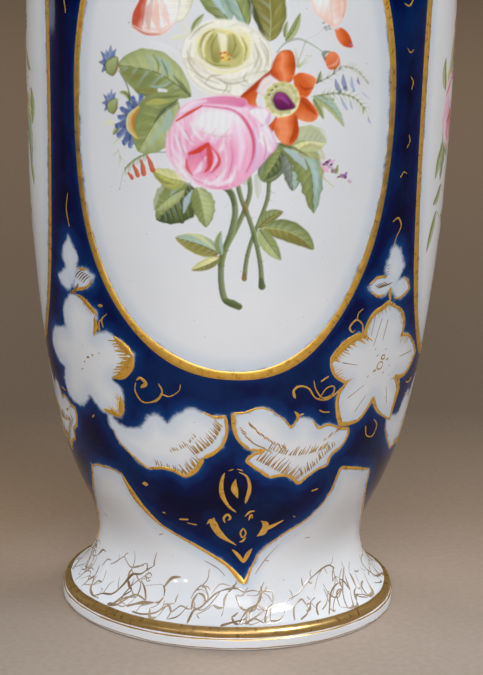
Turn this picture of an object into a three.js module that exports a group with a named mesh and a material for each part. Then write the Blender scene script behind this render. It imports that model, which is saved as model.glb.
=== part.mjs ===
// A tall porcelain vase on a spreading foot, with a waisted neck and a flaring lip.
// The vase is made the way a large hard-paste vase is made: the foot, the two halves of the body,
// the neck and the lip are thrown as separate sections, and each is stuck to the next with a thin
// ring of slip before the firing. Millimetres, +Z up, the origin at the middle of the foot's base.
import * as THREE from 'three';

// ---------------------------------------------------------------- driving dimensions
const TURN_STEPS = 48;             // flats round every turned section
const WALL = 4.0;                  // thickness of the body, neck and lip, square to the surface
const FOOT_WALL = 4.6;             // the foot is a little thicker than the body
const SEAM = 0.5;                  // thickness of a ring of slip

const WAIST_Z = 30;                // top of the foot section
const BELLY_Z = 200;               // top of the lower half of the body
const SHOULDER_Z = 338;            // top of the upper half of the body
const COLLAR_Z = 376;              // top of the neck
const HEIGHT = 395;

const BASE_R = 61.6;               // upright band round the foot
const BASE_BEVEL = 1.0;            // small bevel under that band
const BAND_TOP_Z = 4.4;            // top of the upright band
const GILT_LOW_R = 61.0;           // sloping gilt edge above it
const GILT_LOW_Z = 5.0;
const GILT_TOP_R = 59.1;
const GILT_TOP_Z = 7.8;
const TREAD_R = 56.6;              // inner edge of the flat ring that the vase stands on
const FOOT_ROOF_R = 41.0;          // hollow under the foot, at the waist

const FLOOR_Z = 38;                // inside of the body's floor, at the axis
const FLOOR_FILLET_Z = 52;         // where the floor's fillet meets the wall

const LIP_SHOULDER_Z = 389.5;      // where the lip's wall ends and its rounded rim begins

// Outline of the outside, as [height, radius], from the foot's gilt edge up.
const OUTLINE = [
  [8.4, 58.0],                     // foot of the cove
  [10.2, 55.4],
  [13.0, 53.0],
  [17.0, 50.9],
  [22.0, 49.3],
  [27.0, 48.7],                    // waist
  [33.0, 49.5],
  [40.0, 52.1],
  [50.0, 56.8],
  [64.0, 61.9],
  [86.0, 66.7],
  [112.0, 70.7],
  [150.0, 74.3],
  [200.0, 76.0],
  [230.0, 76.1],                   // widest
  [258.0, 74.8],
  [284.0, 71.7],
  [306.0, 66.7],
  [325.0, 59.7],                   // shoulder
  [340.0, 52.2],
  [351.0, 47.6],
  [361.0, 45.9],                   // neck
  [369.0, 47.1],
  [376.5, 50.5],
  [384.0, 56.6],
  [392.0, 66.4],                   // underside of the lip
];

// ---------------------------------------------------------------- the outline as a curve
function slopeAt(index) {
  const before = OUTLINE[Math.max(index - 1, 0)];
  const after = OUTLINE[Math.min(index + 1, OUTLINE.length - 1)];
  return (after[1] - before[1]) / (after[0] - before[0]);
}

function spanOf(z) {
  let index = 0;
  while (index < OUTLINE.length - 2 && z > OUTLINE[index + 1][0]) {
    index += 1;
  }
  return index;
}

// Outside radius at a height: a smooth cubic through the outline's stations.
function outerRadius(z) {
  const index = spanOf(z);
  const [z0, r0] = OUTLINE[index];
  const [z1, r1] = OUTLINE[index + 1];
  const length = z1 - z0;
  const t = (z - z0) / length;
  const t2 = t * t;
  const t3 = t2 * t;
  return (2 * t3 - 3 * t2 + 1) * r0 + (t3 - 2 * t2 + t) * length * slopeAt(index)
    + (3 * t2 - 2 * t3) * r1 + (t3 - t2) * length * slopeAt(index + 1);
}

// Inside radius at a height, so that the wall keeps its thickness square to the surface.
function innerRadius(z, wall = WALL) {
  const reach = 0.5;
  const slope = (outerRadius(z + reach) - outerRadius(z - reach)) / (2 * reach);
  return outerRadius(z) - wall * Math.sqrt(1 + slope * slope);
}

// Profile points [radius, height] from one height to another, both ends included.
function wallPoints(radiusAt, fromZ, toZ, steps) {
  const points = [];
  for (let step = 0; step <= steps; step += 1) {
    const z = fromZ + (toZ - fromZ) * step / steps;
    points.push([radiusAt(z), z]);
  }
  return points;
}

// Part of an ellipse's outline [radius, height] between two angles, both ends included.
function arcPoints(centre, radii, fromAngle, toAngle, steps) {
  const points = [];
  for (let step = 0; step <= steps; step += 1) {
    const angle = fromAngle + (toAngle - fromAngle) * step / steps;
    points.push([
      centre[0] + radii[0] * Math.cos(angle),
      centre[1] + radii[1] * Math.sin(angle),
    ]);
  }
  return points;
}

// ---------------------------------------------------------------- sections
// A solid turned about +Z from a profile that goes up the outside and down the inside.
function turned(profile) {
  const points = profile.map(([radius, z]) => new THREE.Vector2(radius, z));
  const geometry = new THREE.LatheGeometry(points, TURN_STEPS);
  geometry.rotateX(Math.PI / 2);
  return geometry;
}

function closed(profile) {
  return [...profile, profile[0]];
}

// Spreading foot: a flat tread, an upright band, a sloping gilt edge and a cove up to the waist.
function footProfile() {
  const roofZ = WAIST_Z;
  return closed([
    [TREAD_R, 0],
    [BASE_R - BASE_BEVEL, 0],
    [BASE_R, BASE_BEVEL],
    [BASE_R, BAND_TOP_Z],
    [GILT_LOW_R, GILT_LOW_Z],
    [GILT_TOP_R, GILT_TOP_Z],
    ...wallPoints(outerRadius, OUTLINE[0][0], WAIST_Z, 8),
    [FOOT_ROOF_R, roofZ],
    ...arcPoints([TREAD_R - 0.6, 26], [TREAD_R - 0.6 - FOOT_ROOF_R, 26 - FOOT_WALL],
      Math.PI, Math.PI * 1.5, 4),
    [TREAD_R, 2.4],
  ]);
}

// Lower half of the body: a cup with a closed floor.
function lowerBodyProfile() {
  const bottomZ = WAIST_Z + SEAM;
  return [
    [0, bottomZ],
    [FOOT_ROOF_R, bottomZ],
    ...wallPoints(outerRadius, bottomZ, BELLY_Z, 14),
    ...wallPoints(innerRadius, FLOOR_FILLET_Z, BELLY_Z, 9).reverse(),
    ...arcPoints([innerRadius(FLOOR_FILLET_Z) - 14, FLOOR_FILLET_Z], [14, FLOOR_FILLET_Z - FLOOR_Z],
      0, -Math.PI / 2, 4).slice(1),
    [0, FLOOR_Z],
  ];
}

// A plain stretch of wall between two heights.
function sleeveProfile(fromZ, toZ, steps) {
  return closed([
    ...wallPoints(outerRadius, fromZ, toZ, steps),
    ...wallPoints(innerRadius, fromZ, toZ, steps).reverse(),
  ]);
}

// Lip: the flaring wall, ending in a rounded rim.
function lipProfile() {
  const fromZ = COLLAR_Z + SEAM;
  const outside = wallPoints(outerRadius, fromZ, LIP_SHOULDER_Z, 4);
  const inside = wallPoints(innerRadius, fromZ, LIP_SHOULDER_Z, 4).reverse();
  const outerR = outside[outside.length - 1][0];
  const rimTop = arcPoints([outerR, HEIGHT - 2.2], [4.4, 2.2], -Math.PI * 0.2, Math.PI * 0.75, 6);
  return closed([...outside, ...rimTop, ...inside]);
}

// Ring of slip between two sections, as thin as the joint.
function seamProfile(z, innerR, outerR) {
  return closed([
    [innerR, z],
    [outerR, z],
    [outerR, z + SEAM],
    [innerR, z + SEAM],
  ]);
}

// ---------------------------------------------------------------- materials
function glaze(colour, roughness) {
  return new THREE.MeshStandardMaterial({ color: colour, roughness, metalness: 0 });
}

const whiteGlaze = () => glaze(0xe6e6ea, 0.12);
const cobaltGlaze = () => glaze(0x0b1a5e, 0.1);
const biscuit = () => glaze(0xd8d2c6, 0.75);
const gilding = () => new THREE.MeshStandardMaterial({ color: 0xc08a2c, roughness: 0.3, metalness: 1 });

// ---------------------------------------------------------------- the vase
const vase = new THREE.Group();

function addPiece(name, profile, material) {
  const piece = new THREE.Mesh(turned(profile), material);
  piece.name = name;
  vase.add(piece);
}

addPiece('foot', footProfile(), whiteGlaze());
addPiece('lower_body', lowerBodyProfile(), cobaltGlaze());
addPiece('upper_body', sleeveProfile(BELLY_Z + SEAM, SHOULDER_Z, 10), cobaltGlaze());
addPiece('neck', sleeveProfile(SHOULDER_Z + SEAM, COLLAR_Z, 6), whiteGlaze());
addPiece('lip', lipProfile(), gilding());

const SEAMS = [
  ['waist_slip_ring', WAIST_Z, FOOT_ROOF_R],
  ['belly_slip_ring', BELLY_Z, innerRadius(BELLY_Z)],
  ['shoulder_slip_ring', SHOULDER_Z, innerRadius(SHOULDER_Z)],
  ['collar_slip_ring', COLLAR_Z, innerRadius(COLLAR_Z)],
];
for (const [name, z, innerR] of SEAMS) {
  addPiece(name, seamProfile(z, innerR, outerRadius(z)), biscuit());
}

export default vase;
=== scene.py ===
"""A tall Paris-style porcelain vase: cobalt ground, white flower panels, gilding and a marbled foot.

Pattern coordinates are millimetres: x runs round the vase, measured at a radius of TURN and
counted from the middle of the front panel, and z is the height above the surface it stands on.
"""
import math

import bpy
import numpy as np
from mathutils import Matrix, Vector


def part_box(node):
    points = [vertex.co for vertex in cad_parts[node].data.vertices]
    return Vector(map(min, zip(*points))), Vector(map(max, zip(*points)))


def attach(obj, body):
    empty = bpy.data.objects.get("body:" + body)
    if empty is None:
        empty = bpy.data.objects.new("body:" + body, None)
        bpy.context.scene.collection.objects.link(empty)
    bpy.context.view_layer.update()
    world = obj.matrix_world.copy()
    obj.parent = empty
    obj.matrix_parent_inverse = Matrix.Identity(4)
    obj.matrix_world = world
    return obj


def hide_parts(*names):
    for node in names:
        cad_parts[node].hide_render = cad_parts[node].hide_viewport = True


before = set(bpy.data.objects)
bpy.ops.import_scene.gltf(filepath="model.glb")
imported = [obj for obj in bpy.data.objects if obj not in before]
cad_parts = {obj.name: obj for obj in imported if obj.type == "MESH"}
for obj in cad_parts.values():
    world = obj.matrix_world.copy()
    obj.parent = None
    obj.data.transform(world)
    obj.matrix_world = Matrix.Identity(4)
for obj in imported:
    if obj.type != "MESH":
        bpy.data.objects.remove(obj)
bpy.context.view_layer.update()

MM = 0.001
TURN = 76.0                               # pattern radius, about the belly's
ROUND = 2 * math.pi * TURN                # pattern length of one turn
HALF_ROUND = ROUND / 2
SIDE = ROUND / 4                          # middle of a side panel
MIDDLE_Z = 192.0                          # middle of the panels; the ground is mirrored about it

WALL = 4.0                                # thickness square to the surface
FLOOR_Z = 38.0                            # inside of the body's floor
FLOOR_FILLET_Z = 52.0                     # where the floor's fillet meets the wall
TREAD_R = 56.6                            # inner edge of the flat ring under the foot
FOOT_ROOF_R = 41.0                        # top of the hollow under the foot
COVE_Z = 8.4                              # where the foot's cove begins, above its gilt edge
FOOT_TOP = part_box("foot")[1].z / MM
BELLY_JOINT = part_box("upper_body")[0].z / MM
SHOULDER_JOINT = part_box("neck")[0].z / MM
COLLAR_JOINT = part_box("lip")[0].z / MM
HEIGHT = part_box("lip")[1].z / MM
BASE_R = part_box("foot")[1].x / MM
LIP_SHOULDER = 389.5                      # where the lip's wall ends and its rim begins
SIDE_SQUEEZE = 0.82                       # the side panels' leaves are narrower by this
NECK_FLIP_Z = 383.5                       # a vein at z on the foot is at this less z on the neck
PHASE = 6.28                              # phases are drawn from 0 to this, about a full turn

# The outline of the outside, (height, radius), the same stations as the CAD sections have.
OUTLINE = np.array([
    (8.4, 58.0), (10.2, 55.4), (13.0, 53.0), (17.0, 50.9), (22.0, 49.3), (27.0, 48.7),
    (33.0, 49.5), (40.0, 52.1), (50.0, 56.8), (64.0, 61.9), (86.0, 66.7), (112.0, 70.7),
    (150.0, 74.3), (200.0, 76.0), (230.0, 76.1), (258.0, 74.8), (284.0, 71.7), (306.0, 66.7),
    (325.0, 59.7), (340.0, 52.2), (351.0, 47.6), (361.0, 45.9), (369.0, 47.1), (376.5, 50.5),
    (384.0, 56.6), (392.0, 66.4),
])
STATION_Z, STATION_R = OUTLINE.T
AHEAD = np.minimum(np.arange(len(OUTLINE)) + 1, len(OUTLINE) - 1)
BEHIND = np.maximum(np.arange(len(OUTLINE)) - 1, 0)
STATION_SLOPE = (STATION_R[AHEAD] - STATION_R[BEHIND]) / (STATION_Z[AHEAD] - STATION_Z[BEHIND])


# ---------------------------------------------------------------- the wall
def outer_radius(z):
    """Radius of the turned outline at a height: a smooth cubic through the stations."""
    z = np.asarray(z, float)
    i = np.clip(np.searchsorted(STATION_Z, z, side="right") - 1, 0, len(OUTLINE) - 2)
    length = STATION_Z[i + 1] - STATION_Z[i]
    t = (z - STATION_Z[i]) / length
    t2, t3 = t * t, t * t * t
    return ((2 * t3 - 3 * t2 + 1) * STATION_R[i] + (t3 - 2 * t2 + t) * length * STATION_SLOPE[i]
            + (3 * t2 - 2 * t3) * STATION_R[i + 1] + (t3 - t2) * length * STATION_SLOPE[i + 1])


def outer_slope(z, reach=0.4):
    return (outer_radius(z + reach) - outer_radius(z - reach)) / (2 * reach)


def unevenness(x, z):
    """How far the hand-finished wall stands off the true turned shape, in millimetres."""
    turn = x / TURN
    return (0.10 * np.sin(2 * turn + 0.6) * np.sin(z / 61 + 0.4)
            + 0.05 * np.sin(5 * turn + z / 47) + 0.022 * np.sin(11 * turn - z / 19 + 2)
            + 0.012 * np.sin(z / 7.3 + 1.7 * np.sin(turn)))


def run_lengths(rows):
    """How far along a run of points each point lies."""
    steps = np.linalg.norm(np.diff(rows, axis=0), axis=1)
    return np.concatenate([[0], np.cumsum(steps)])


def on_wall(x, z, lift=0.0):
    """Points lift millimetres off the outside wall, in metres."""
    x, z = np.broadcast_arrays(np.asarray(x, float), np.asarray(z, float))
    slope = outer_slope(z)
    square = 1 / np.sqrt(1 + slope * slope)
    off = lift + unevenness(x, z)
    radius = outer_radius(z) + off * square
    height = z - off * square * slope
    turn = x / TURN
    return np.stack([radius * np.sin(turn), -radius * np.cos(turn), height], -1) * MM


def wall_normal(x, z, reach=0.35):
    """Unit normals of the uneven outside wall."""
    along_x = on_wall(x + reach, z) - on_wall(x - reach, z)
    along_z = on_wall(x, z + reach) - on_wall(x, z - reach)
    normal = np.cross(along_x, along_z)
    return normal / np.linalg.norm(normal, axis=-1, keepdims=True)


# ---------------------------------------------------------------- meshes
def make_mesh(name, points, loops, sizes, normals=None, colours=None, values=None):
    """A mesh object from flat arrays: points in metres, faces as vertex loops of given sizes."""
    mesh = bpy.data.meshes.new(name)
    mesh.vertices.add(len(points))
    mesh.vertices.foreach_set("co", np.asarray(points, np.float32).ravel())
    mesh.loops.add(len(loops))
    mesh.loops.foreach_set("vertex_index", np.asarray(loops, np.int32))
    mesh.polygons.add(len(sizes))
    starts = np.concatenate([[0], np.cumsum(sizes)[:-1]]).astype(np.int32)
    mesh.polygons.foreach_set("loop_start", starts)
    mesh.polygons.foreach_set("loop_total", np.asarray(sizes, np.int32))
    mesh.update(calc_edges=True)
    mesh.validate()
    mesh.shade_smooth()
    for key, data in (colours or {}).items():
        layer = mesh.color_attributes.new(key, "FLOAT_COLOR", "POINT")
        rgba = np.ones((len(points), 4), np.float32)
        rgba[:, :3] = data
        layer.data.foreach_set("color", rgba.ravel())
    for key, data in (values or {}).items():
        layer = mesh.attributes.new(key, "FLOAT", "POINT")
        layer.data.foreach_set("value", np.asarray(data, np.float32))
    if normals is not None:
        mesh.normals_split_custom_set_from_vertices(np.asarray(normals, float).tolist())
    piece = bpy.data.objects.new(name, mesh)
    bpy.context.scene.collection.objects.link(piece)
    return piece


def grid_faces(rows, columns, wrap):
    """Quads of a grid of rows by columns points, joined round when wrap is set."""
    across = columns if wrap else columns - 1
    row = np.arange(rows - 1)[:, None]
    column = np.arange(across)[None, :]
    after = (column + 1) % columns
    quads = np.stack([row * columns + column, row * columns + after,
                      (row + 1) * columns + after, (row + 1) * columns + column], -1)
    return quads.reshape(-1, 4)


def finish_piece(piece, material, replaced=()):
    """Gives a piece its material and its body, and hides the CAD nodes it stands in for."""
    piece.data.materials.append(material)
    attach(piece, "root")
    if replaced:
        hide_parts(*replaced)


# ---------------------------------------------------------------- drawn outlines
CORNER = "corner"


def spline(points, step=0.5):
    """A smooth run through points, as evenly spaced (x, z) rows."""
    p = np.array([q[:2] for q in points], float)
    if len(p) == 2:
        dense = np.linspace(p[0], p[1], 12)
    else:
        ends = np.vstack([2 * p[0] - p[1], p, 2 * p[-1] - p[-2]])
        t = np.linspace(0, 1, 16, endpoint=False)[:, None]
        runs = []
        for a, b, c, d in zip(ends[:-3], ends[1:-2], ends[2:-1], ends[3:]):
            runs.append(0.5 * (2 * b + (c - a) * t + (2 * a - 5 * b + 4 * c - d) * t ** 2
                               + (3 * b - a - 3 * c + d) * t ** 3))
        dense = np.vstack(runs + [p[-1:]])
    reach = run_lengths(dense)
    count = max(int(reach[-1] / step), 3) + 1
    even = np.linspace(0, reach[-1], count)
    return np.stack([np.interp(even, reach, dense[:, i]) for i in (0, 1)], -1)


def outline(points, step=0.5):
    """A closed outline through points; a point marked CORNER stays sharp."""
    corners = [i for i, q in enumerate(points) if len(q) > 2]
    first = corners[0]
    ring = points[first:] + points[:first + 1]
    marks = [i for i, q in enumerate(ring) if len(q) > 2]
    runs = [spline(ring[a:b + 1], step)[:-1] for a, b in zip(marks[:-1], marks[1:])]
    return np.vstack(runs)


def placed(points, dx=0.0, squeeze=1.0, about=0.0, upside_down=False):
    """The same points moved round the vase, narrowed about a line or turned over."""
    out = []
    for q in points:
        x = about + (q[0] - about) * squeeze + dx
        z = 2 * MIDDLE_Z - q[1] if upside_down else q[1]
        out.append((x, z) + tuple(q[2:]))
    return out


def ring_distance(x, z, ring):
    """Distance from points to a closed outline in one plane, negative inside it."""
    a, b = ring, np.roll(ring, -1, axis=0)
    dx, dz = (b - a).T
    qx, qz = x[..., None], z[..., None]
    t = np.clip(((qx - a[:, 0]) * dx + (qz - a[:, 1]) * dz) / (dx * dx + dz * dz + 1e-12), 0, 1)
    distance = np.sqrt(((qx - a[:, 0] - t * dx) ** 2 + (qz - a[:, 1] - t * dz) ** 2).min(-1))
    crosses = (a[:, 1] > qz) != (b[:, 1] > qz)
    crossing = a[:, 0] + (qz - a[:, 1]) * dx / (dz + 1e-12 * (dz == 0))
    return np.where((crosses & (qx < crossing)).sum(-1) % 2 == 1, -distance, distance)


def signed_distance(x, z, ring, margin=9.0, far=99.0):
    """The same on the vase's own surface; far is given to points beyond the margin."""
    centre = ring.mean(0)
    stretch = float(outer_radius(centre[1])) / TURN
    px = ((x - centre[0] + HALF_ROUND) % ROUND - HALF_ROUND) * stretch
    pz = z - centre[1]
    local = (ring - centre) * (stretch, 1)
    low, high = local.min(0) - margin, local.max(0) + margin
    near = (px > low[0]) & (px < high[0]) & (pz > low[1]) & (pz < high[1])
    result = np.full(px.shape, far)
    if near.any():
        result[near] = ring_distance(px[near], pz[near], local)
    return result


# ---------------------------------------------------------------- white reserves in the cobalt
FLOWER_RIGHT = [
    (63.5, 125.3, CORNER), (60, 123.6), (56.6, 122.4), (53.8, 119.4), (52.3, 115.0, CORNER),
    (48.8, 115.4), (44.5, 114.0), (40.6, 111.0), (38.2, 108.0, CORNER), (38.9, 104.4), (41.2, 101.0),
    (46.6, 97.8, CORNER), (43.9, 94.6), (43.4, 91.0), (44.6, 86.6), (46.8, 82.3, CORNER),
    (52.0, 82.1), (57.2, 83.4), (62.6, 89.8, CORNER), (66.2, 85.2), (71.4, 81.8),
    (79.0, 78.6, CORNER), (79.8, 84.0), (80.4, 89.2), (75.8, 95.6, CORNER), (82.4, 94.6),
    (88.2, 96.2), (93.2, 101.0, CORNER), (88.0, 105.4), (82.2, 109.6), (75.4, 111.2, CORNER),
    (75.8, 116.0), (72.4, 120.8), (67.4, 123.2),
]
FLOWER_LEFT = [
    (-66.0, 125.0, CORNER), (-62.0, 123.9), (-58.2, 121.6), (-55.0, 119.6), (-57.4, 111.6, CORNER),
    (-53.6, 113.6), (-49.4, 114.1), (-44.6, 112.2), (-38.0, 107.6, CORNER), (-39.8, 103.4),
    (-43.4, 99.6), (-49.6, 96.8, CORNER), (-46.2, 94.4), (-45.0, 90.4), (-45.8, 86.2),
    (-47.0, 82.6, CORNER), (-52.6, 83.2), (-58.8, 84.2), (-64.2, 88.6, CORNER), (-68.4, 84.0),
    (-74.6, 82.4), (-80.6, 84.8), (-83.0, 89.6), (-80.2, 95.4, CORNER), (-85.2, 96.4),
    (-89.8, 100.2), (-89.4, 105.0), (-84.4, 109.6), (-75.2, 110.8, CORNER), (-75.8, 116.6),
    (-73.4, 121.6), (-69.6, 124.2),
]
BUD_RIGHT = [
    [(63.6, 129.4, CORNER), (60.6, 133.6), (59.4, 138.0), (61.0, 142.6), (63.6, 146.0, CORNER),
     (67.0, 143.4), (69.6, 139.0), (69.6, 134.6), (66.6, 131.0)],
    [(64.0, 130.4, CORNER), (60.2, 128.4), (56.8, 128.3), (54.0, 130.2), (51.4, 132.6, CORNER),
     (55.0, 135.2), (59.0, 135.2), (62.6, 133.6)],
    [(64.0, 130.4, CORNER), (66.6, 127.2), (70.4, 125.6), (73.6, 126.6), (76.4, 128.2, CORNER),
     (74.2, 131.4), (70.8, 133.2), (67.0, 132.6)],
]
BUD_LEFT = [
    [(-67.6, 127.6, CORNER), (-71.6, 133.4), (-72.8, 138.0), (-71.2, 142.6), (-68.6, 145.8, CORNER),
     (-65.6, 143.0), (-63.8, 139.0), (-64.4, 134.6)],
    [(-67.6, 127.2, CORNER), (-61.2, 127.8), (-57.2, 130.4), (-55.2, 133.6, CORNER), (-59.4, 135.6),
     (-64.2, 134.8)],
    [(-67.4, 128.4, CORNER), (-71.2, 125.4), (-74.8, 126.8), (-76.8, 129.8, CORNER), (-73.6, 132.8),
     (-69.6, 134.4)],
]
LEAF_RIGHT = [
    (0.5, 89.2, CORNER), (5.0, 89.5), (10.2, 91.2), (15.2, 90.3), (20.0, 87.2), (24.4, 83.2, CORNER),
    (26.2, 86.4), (29.6, 87.2), (33.0, 85.4), (36.2, 81.8, CORNER), (39.6, 82.9), (43.4, 82.2),
    (47.4, 80.6), (51.6, 80.2, CORNER), (51.2, 76.6), (48.6, 73.4), (44.2, 71.2, CORNER),
    (43.2, 66.8, CORNER), (38.6, 65.9), (34.4, 63.6), (30.6, 60.8, CORNER), (27.0, 63.8),
    (22.6, 65.0), (16.8, 64.6, CORNER), (12.4, 67.2), (6.2, 71.2, CORNER), (9.6, 73.6),
    (13.6, 74.9, CORNER), (7.6, 75.6), (3.2, 79.0), (1.2, 83.4),
]
LEAF_LEFT = [
    (-2.3, 88.0, CORNER), (-6.6, 87.6), (-11.4, 89.4), (-16.6, 90.2), (-21.6, 88.0),
    (-25.8, 83.4, CORNER), (-29.8, 86.6, CORNER), (-34.0, 85.6), (-38.0, 80.2, CORNER), (-43.0, 79.6),
    (-48.0, 80.0), (-54.6, 82.8, CORNER), (-52.6, 77.0), (-48.6, 72.2), (-43.0, 68.4),
    (-36.6, 64.9, CORNER), (-30.4, 66.0), (-24.6, 65.7), (-19.4, 63.7, CORNER), (-14.8, 66.7),
    (-11.2, 71.8, CORNER), (-6.6, 74.2), (-3.2, 77.6), (-1.8, 82.2),
]
SWAG_FRONT = [
    (-73.0, 59.5, CORNER), (-66.0, 60.8), (-59.0, 61.1), (-52.0, 60.2, CORNER), (-50.2, 56.0),
    (-46.0, 49.5), (-38.0, 42.6), (-30.0, 39.0), (-20.0, 35.4), (-10.0, 31.6), (0.0, 27.2),
    (9.0, 20.8, CORNER), (11.4, 24.0), (15.6, 30.6), (22.0, 35.8), (30.0, 40.0), (38.0, 43.8),
    (44.6, 48.6), (49.0, 54.8), (51.3, 65.0, CORNER), (57.0, 63.8), (64.0, 62.4), (72.5, 60.5, CORNER),
]
SWAG_SIDE = [
    (72.5, 60.5, CORNER), (75.4, 54.6), (80.0, 48.4), (88.0, 42.0), (98.0, 36.6), (110.0, 31.2),
    (119.0, 26.8), (127.0, 21.2, CORNER), (130.8, 26.6), (136.0, 32.6), (144.0, 38.6), (152.0, 43.6),
    (159.0, 50.4), (163.6, 56.0), (HALF_ROUND - 73.0, 59.5, CORNER),
]


def swag_line():
    """The lower edge of the cobalt right round the vase, as (x, z) rows with x rising."""
    half = []
    for run in (SWAG_FRONT, SWAG_SIDE):
        corners = [i for i, q in enumerate(run) if len(q) > 2]
        for a, b in zip(corners[:-1], corners[1:]):
            half.append(spline(run[a:b + 1])[:-1])
    half = np.vstack(half)
    return np.vstack([half, half + (HALF_ROUND, 0)])


def panel_ring(middle, half_width, half_height, fullness, drift=0.0, count=160, grow=0.0):
    """An oval with rather full sides; drift moves its foot sideways, as a hand draws it."""
    angle = np.linspace(0, 2 * math.pi, count, endpoint=False)
    c, s = np.cos(angle), np.sin(angle)
    power = 2 / np.where(c < 0, *fullness)
    across = np.sign(c) * np.abs(c) ** power * (half_width + grow)
    up = np.sign(s) * np.abs(s) ** power * (half_height + grow)
    low = np.clip(-s, 0, 1) ** 4
    return np.stack([middle + across + drift * low, MIDDLE_Z + up], -1)


# name: (middle x, half width, half height, fullness of left and right side, drift)
PANELS = {
    "front": (-2.2, 58.2, 87.5, (2.3, 2.14), 4.2),
    "right": (SIDE - 1.4, 41.6, 93.0, (2.7, 2.6), 1.0),
    "back": (HALF_ROUND - 1.0, 58.0, 87.5, (2.2, 2.25), -2.0),
    "left": (-SIDE - 3.1, 42.0, 93.0, (2.6, 2.7), -1.0),
}


def reserve_rings():
    """Every white reserve: the lower half of the ground and its mirror above."""
    rings = [panel_ring(*panel) for panel in PANELS.values()]
    for upside_down in (False, True):
        for dx in (0.0, HALF_ROUND):
            for shape in (FLOWER_RIGHT, FLOWER_LEFT, *BUD_RIGHT, *BUD_LEFT, LEAF_RIGHT, LEAF_LEFT):
                rings.append(outline(placed(shape, dx=dx, upside_down=upside_down)))
            for leaf in (LEAF_RIGHT, LEAF_LEFT):
                rings.append(outline(placed(leaf, dx=dx + SIDE, squeeze=SIDE_SQUEEZE,
                                            upside_down=upside_down)))
    return rings


RESERVES = reserve_rings()
SWAG = swag_line()


def line_distance(x, z, line, window=8.0, reach=14.0):
    """Distance from points to a long open line, looked for in windows along x."""
    best = np.full(x.shape, reach)
    if not len(x):
        return best
    ends = np.stack([line[:-1], line[1:]], 1)
    for low in np.arange(x.min(), x.max() + window, window):
        here = (x >= low) & (x < low + window)
        close = (ends[:, :, 0].max(1) > low - reach) & (ends[:, :, 0].min(1) < low + window + reach)
        if not here.any() or not close.any():
            continue
        stretch = (outer_radius(z[here]) / TURN)[:, None]
        ax, az = ends[close, 0].T
        dx, dz = (ends[close, 1] - ends[close, 0]).T
        qx, qz = (x[here][:, None] - ax) * stretch, z[here][:, None] - az
        sx = dx * stretch
        t = np.clip((qx * sx + qz * dz) / (sx * sx + dz * dz + 1e-9), 0, 1)
        best[here] = np.sqrt(((qx - t * sx) ** 2 + (qz - t * dz) ** 2).min(1))
    return best


def cobalt_depth(x, z):
    """Millimetres from the nearest white edge, positive inside the cobalt ground."""
    x, z = x.ravel(), z.ravel()
    depth = np.full(x.shape, 30.0)
    for ring in RESERVES:
        depth = np.minimum(depth, signed_distance(x, z, ring))
    line = np.vstack([SWAG - (ROUND, 0), SWAG, SWAG + (ROUND, 0)])
    wrapped = (x + HALF_ROUND) % ROUND - HALF_ROUND
    for level in (z, 2 * MIDDLE_Z - z):
        near = level < 90
        above = level[near] > np.interp(wrapped[near], line[:, 0], line[:, 1])
        edge = line_distance(wrapped[near], level[near], line)
        depth[near] = np.minimum(depth[near], np.where(above, edge, -edge))
    return depth


# ---------------------------------------------------------------- materials
def new_material(name):
    material = bpy.data.materials.new(name)
    material.use_nodes = True
    nodes, links = material.node_tree.nodes, material.node_tree.links
    shader = nodes["Principled BSDF"]
    return material, nodes, links, shader


def noise(nodes, links, size, detail=3.0, roughness=0.5):
    """A noise texture fixed to the piece, with features about size millimetres across."""
    place = nodes.new("ShaderNodeTexCoord")
    texture = nodes.new("ShaderNodeTexNoise")
    texture.inputs["Scale"].default_value = 1 / (size * MM)
    texture.inputs["Detail"].default_value = detail
    texture.inputs["Roughness"].default_value = roughness
    links.new(place.outputs["Object"], texture.inputs["Vector"])
    return texture


def ramp(nodes, links, source, stops, smooth=True):
    """A colour ramp on a 0 to 1 value; stops are (position, linear colour)."""
    node = nodes.new("ShaderNodeValToRGB")
    node.color_ramp.interpolation = "EASE" if smooth else "LINEAR"
    elements = node.color_ramp.elements
    while len(elements) < len(stops):
        elements.new(0.5)
    for element, (position, colour) in zip(elements, stops):
        element.position = position
        element.color = (*colour, 1)
    links.new(source, node.inputs["Fac"])
    return node


def mapped(nodes, links, source, low, high, to_low=0.0, to_high=1.0):
    """A value moved from one range to another and held to it."""
    node = nodes.new("ShaderNodeMapRange")
    links.new(source, node.inputs["Value"])
    for key, value in (("From Min", low), ("From Max", high), ("To Min", to_low), ("To Max", to_high)):
        node.inputs[key].default_value = value
    return node


def mixed(nodes, links, factor, a, b):
    """Mixes two colours; each of factor, a and b is a socket or a constant."""
    node = nodes.new("ShaderNodeMix")
    node.data_type = "RGBA"
    for socket, value in ((node.inputs[0], factor), (node.inputs[6], a), (node.inputs[7], b)):
        if isinstance(value, bpy.types.NodeSocket):
            links.new(value, socket)
        elif isinstance(value, float):
            socket.default_value = value
        else:
            socket.default_value = (*value, 1)
    return node.outputs[2]


def bumped(nodes, links, shader, source, distance):
    """Fine relief about distance millimetres deep."""
    bump = nodes.new("ShaderNodeBump")
    bump.inputs["Distance"].default_value = distance * MM
    bump.inputs["Strength"].default_value = 1.0
    links.new(source, bump.inputs["Height"])
    links.new(bump.outputs["Normal"], shader.inputs["Normal"])


WHITE_DEEP = (0.750, 0.765, 0.790)
WHITE_CLEAR = (0.790, 0.800, 0.822)
GLAZE_ROUGH = (0.07 * 0.75, 0.07 * 1.45)


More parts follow.
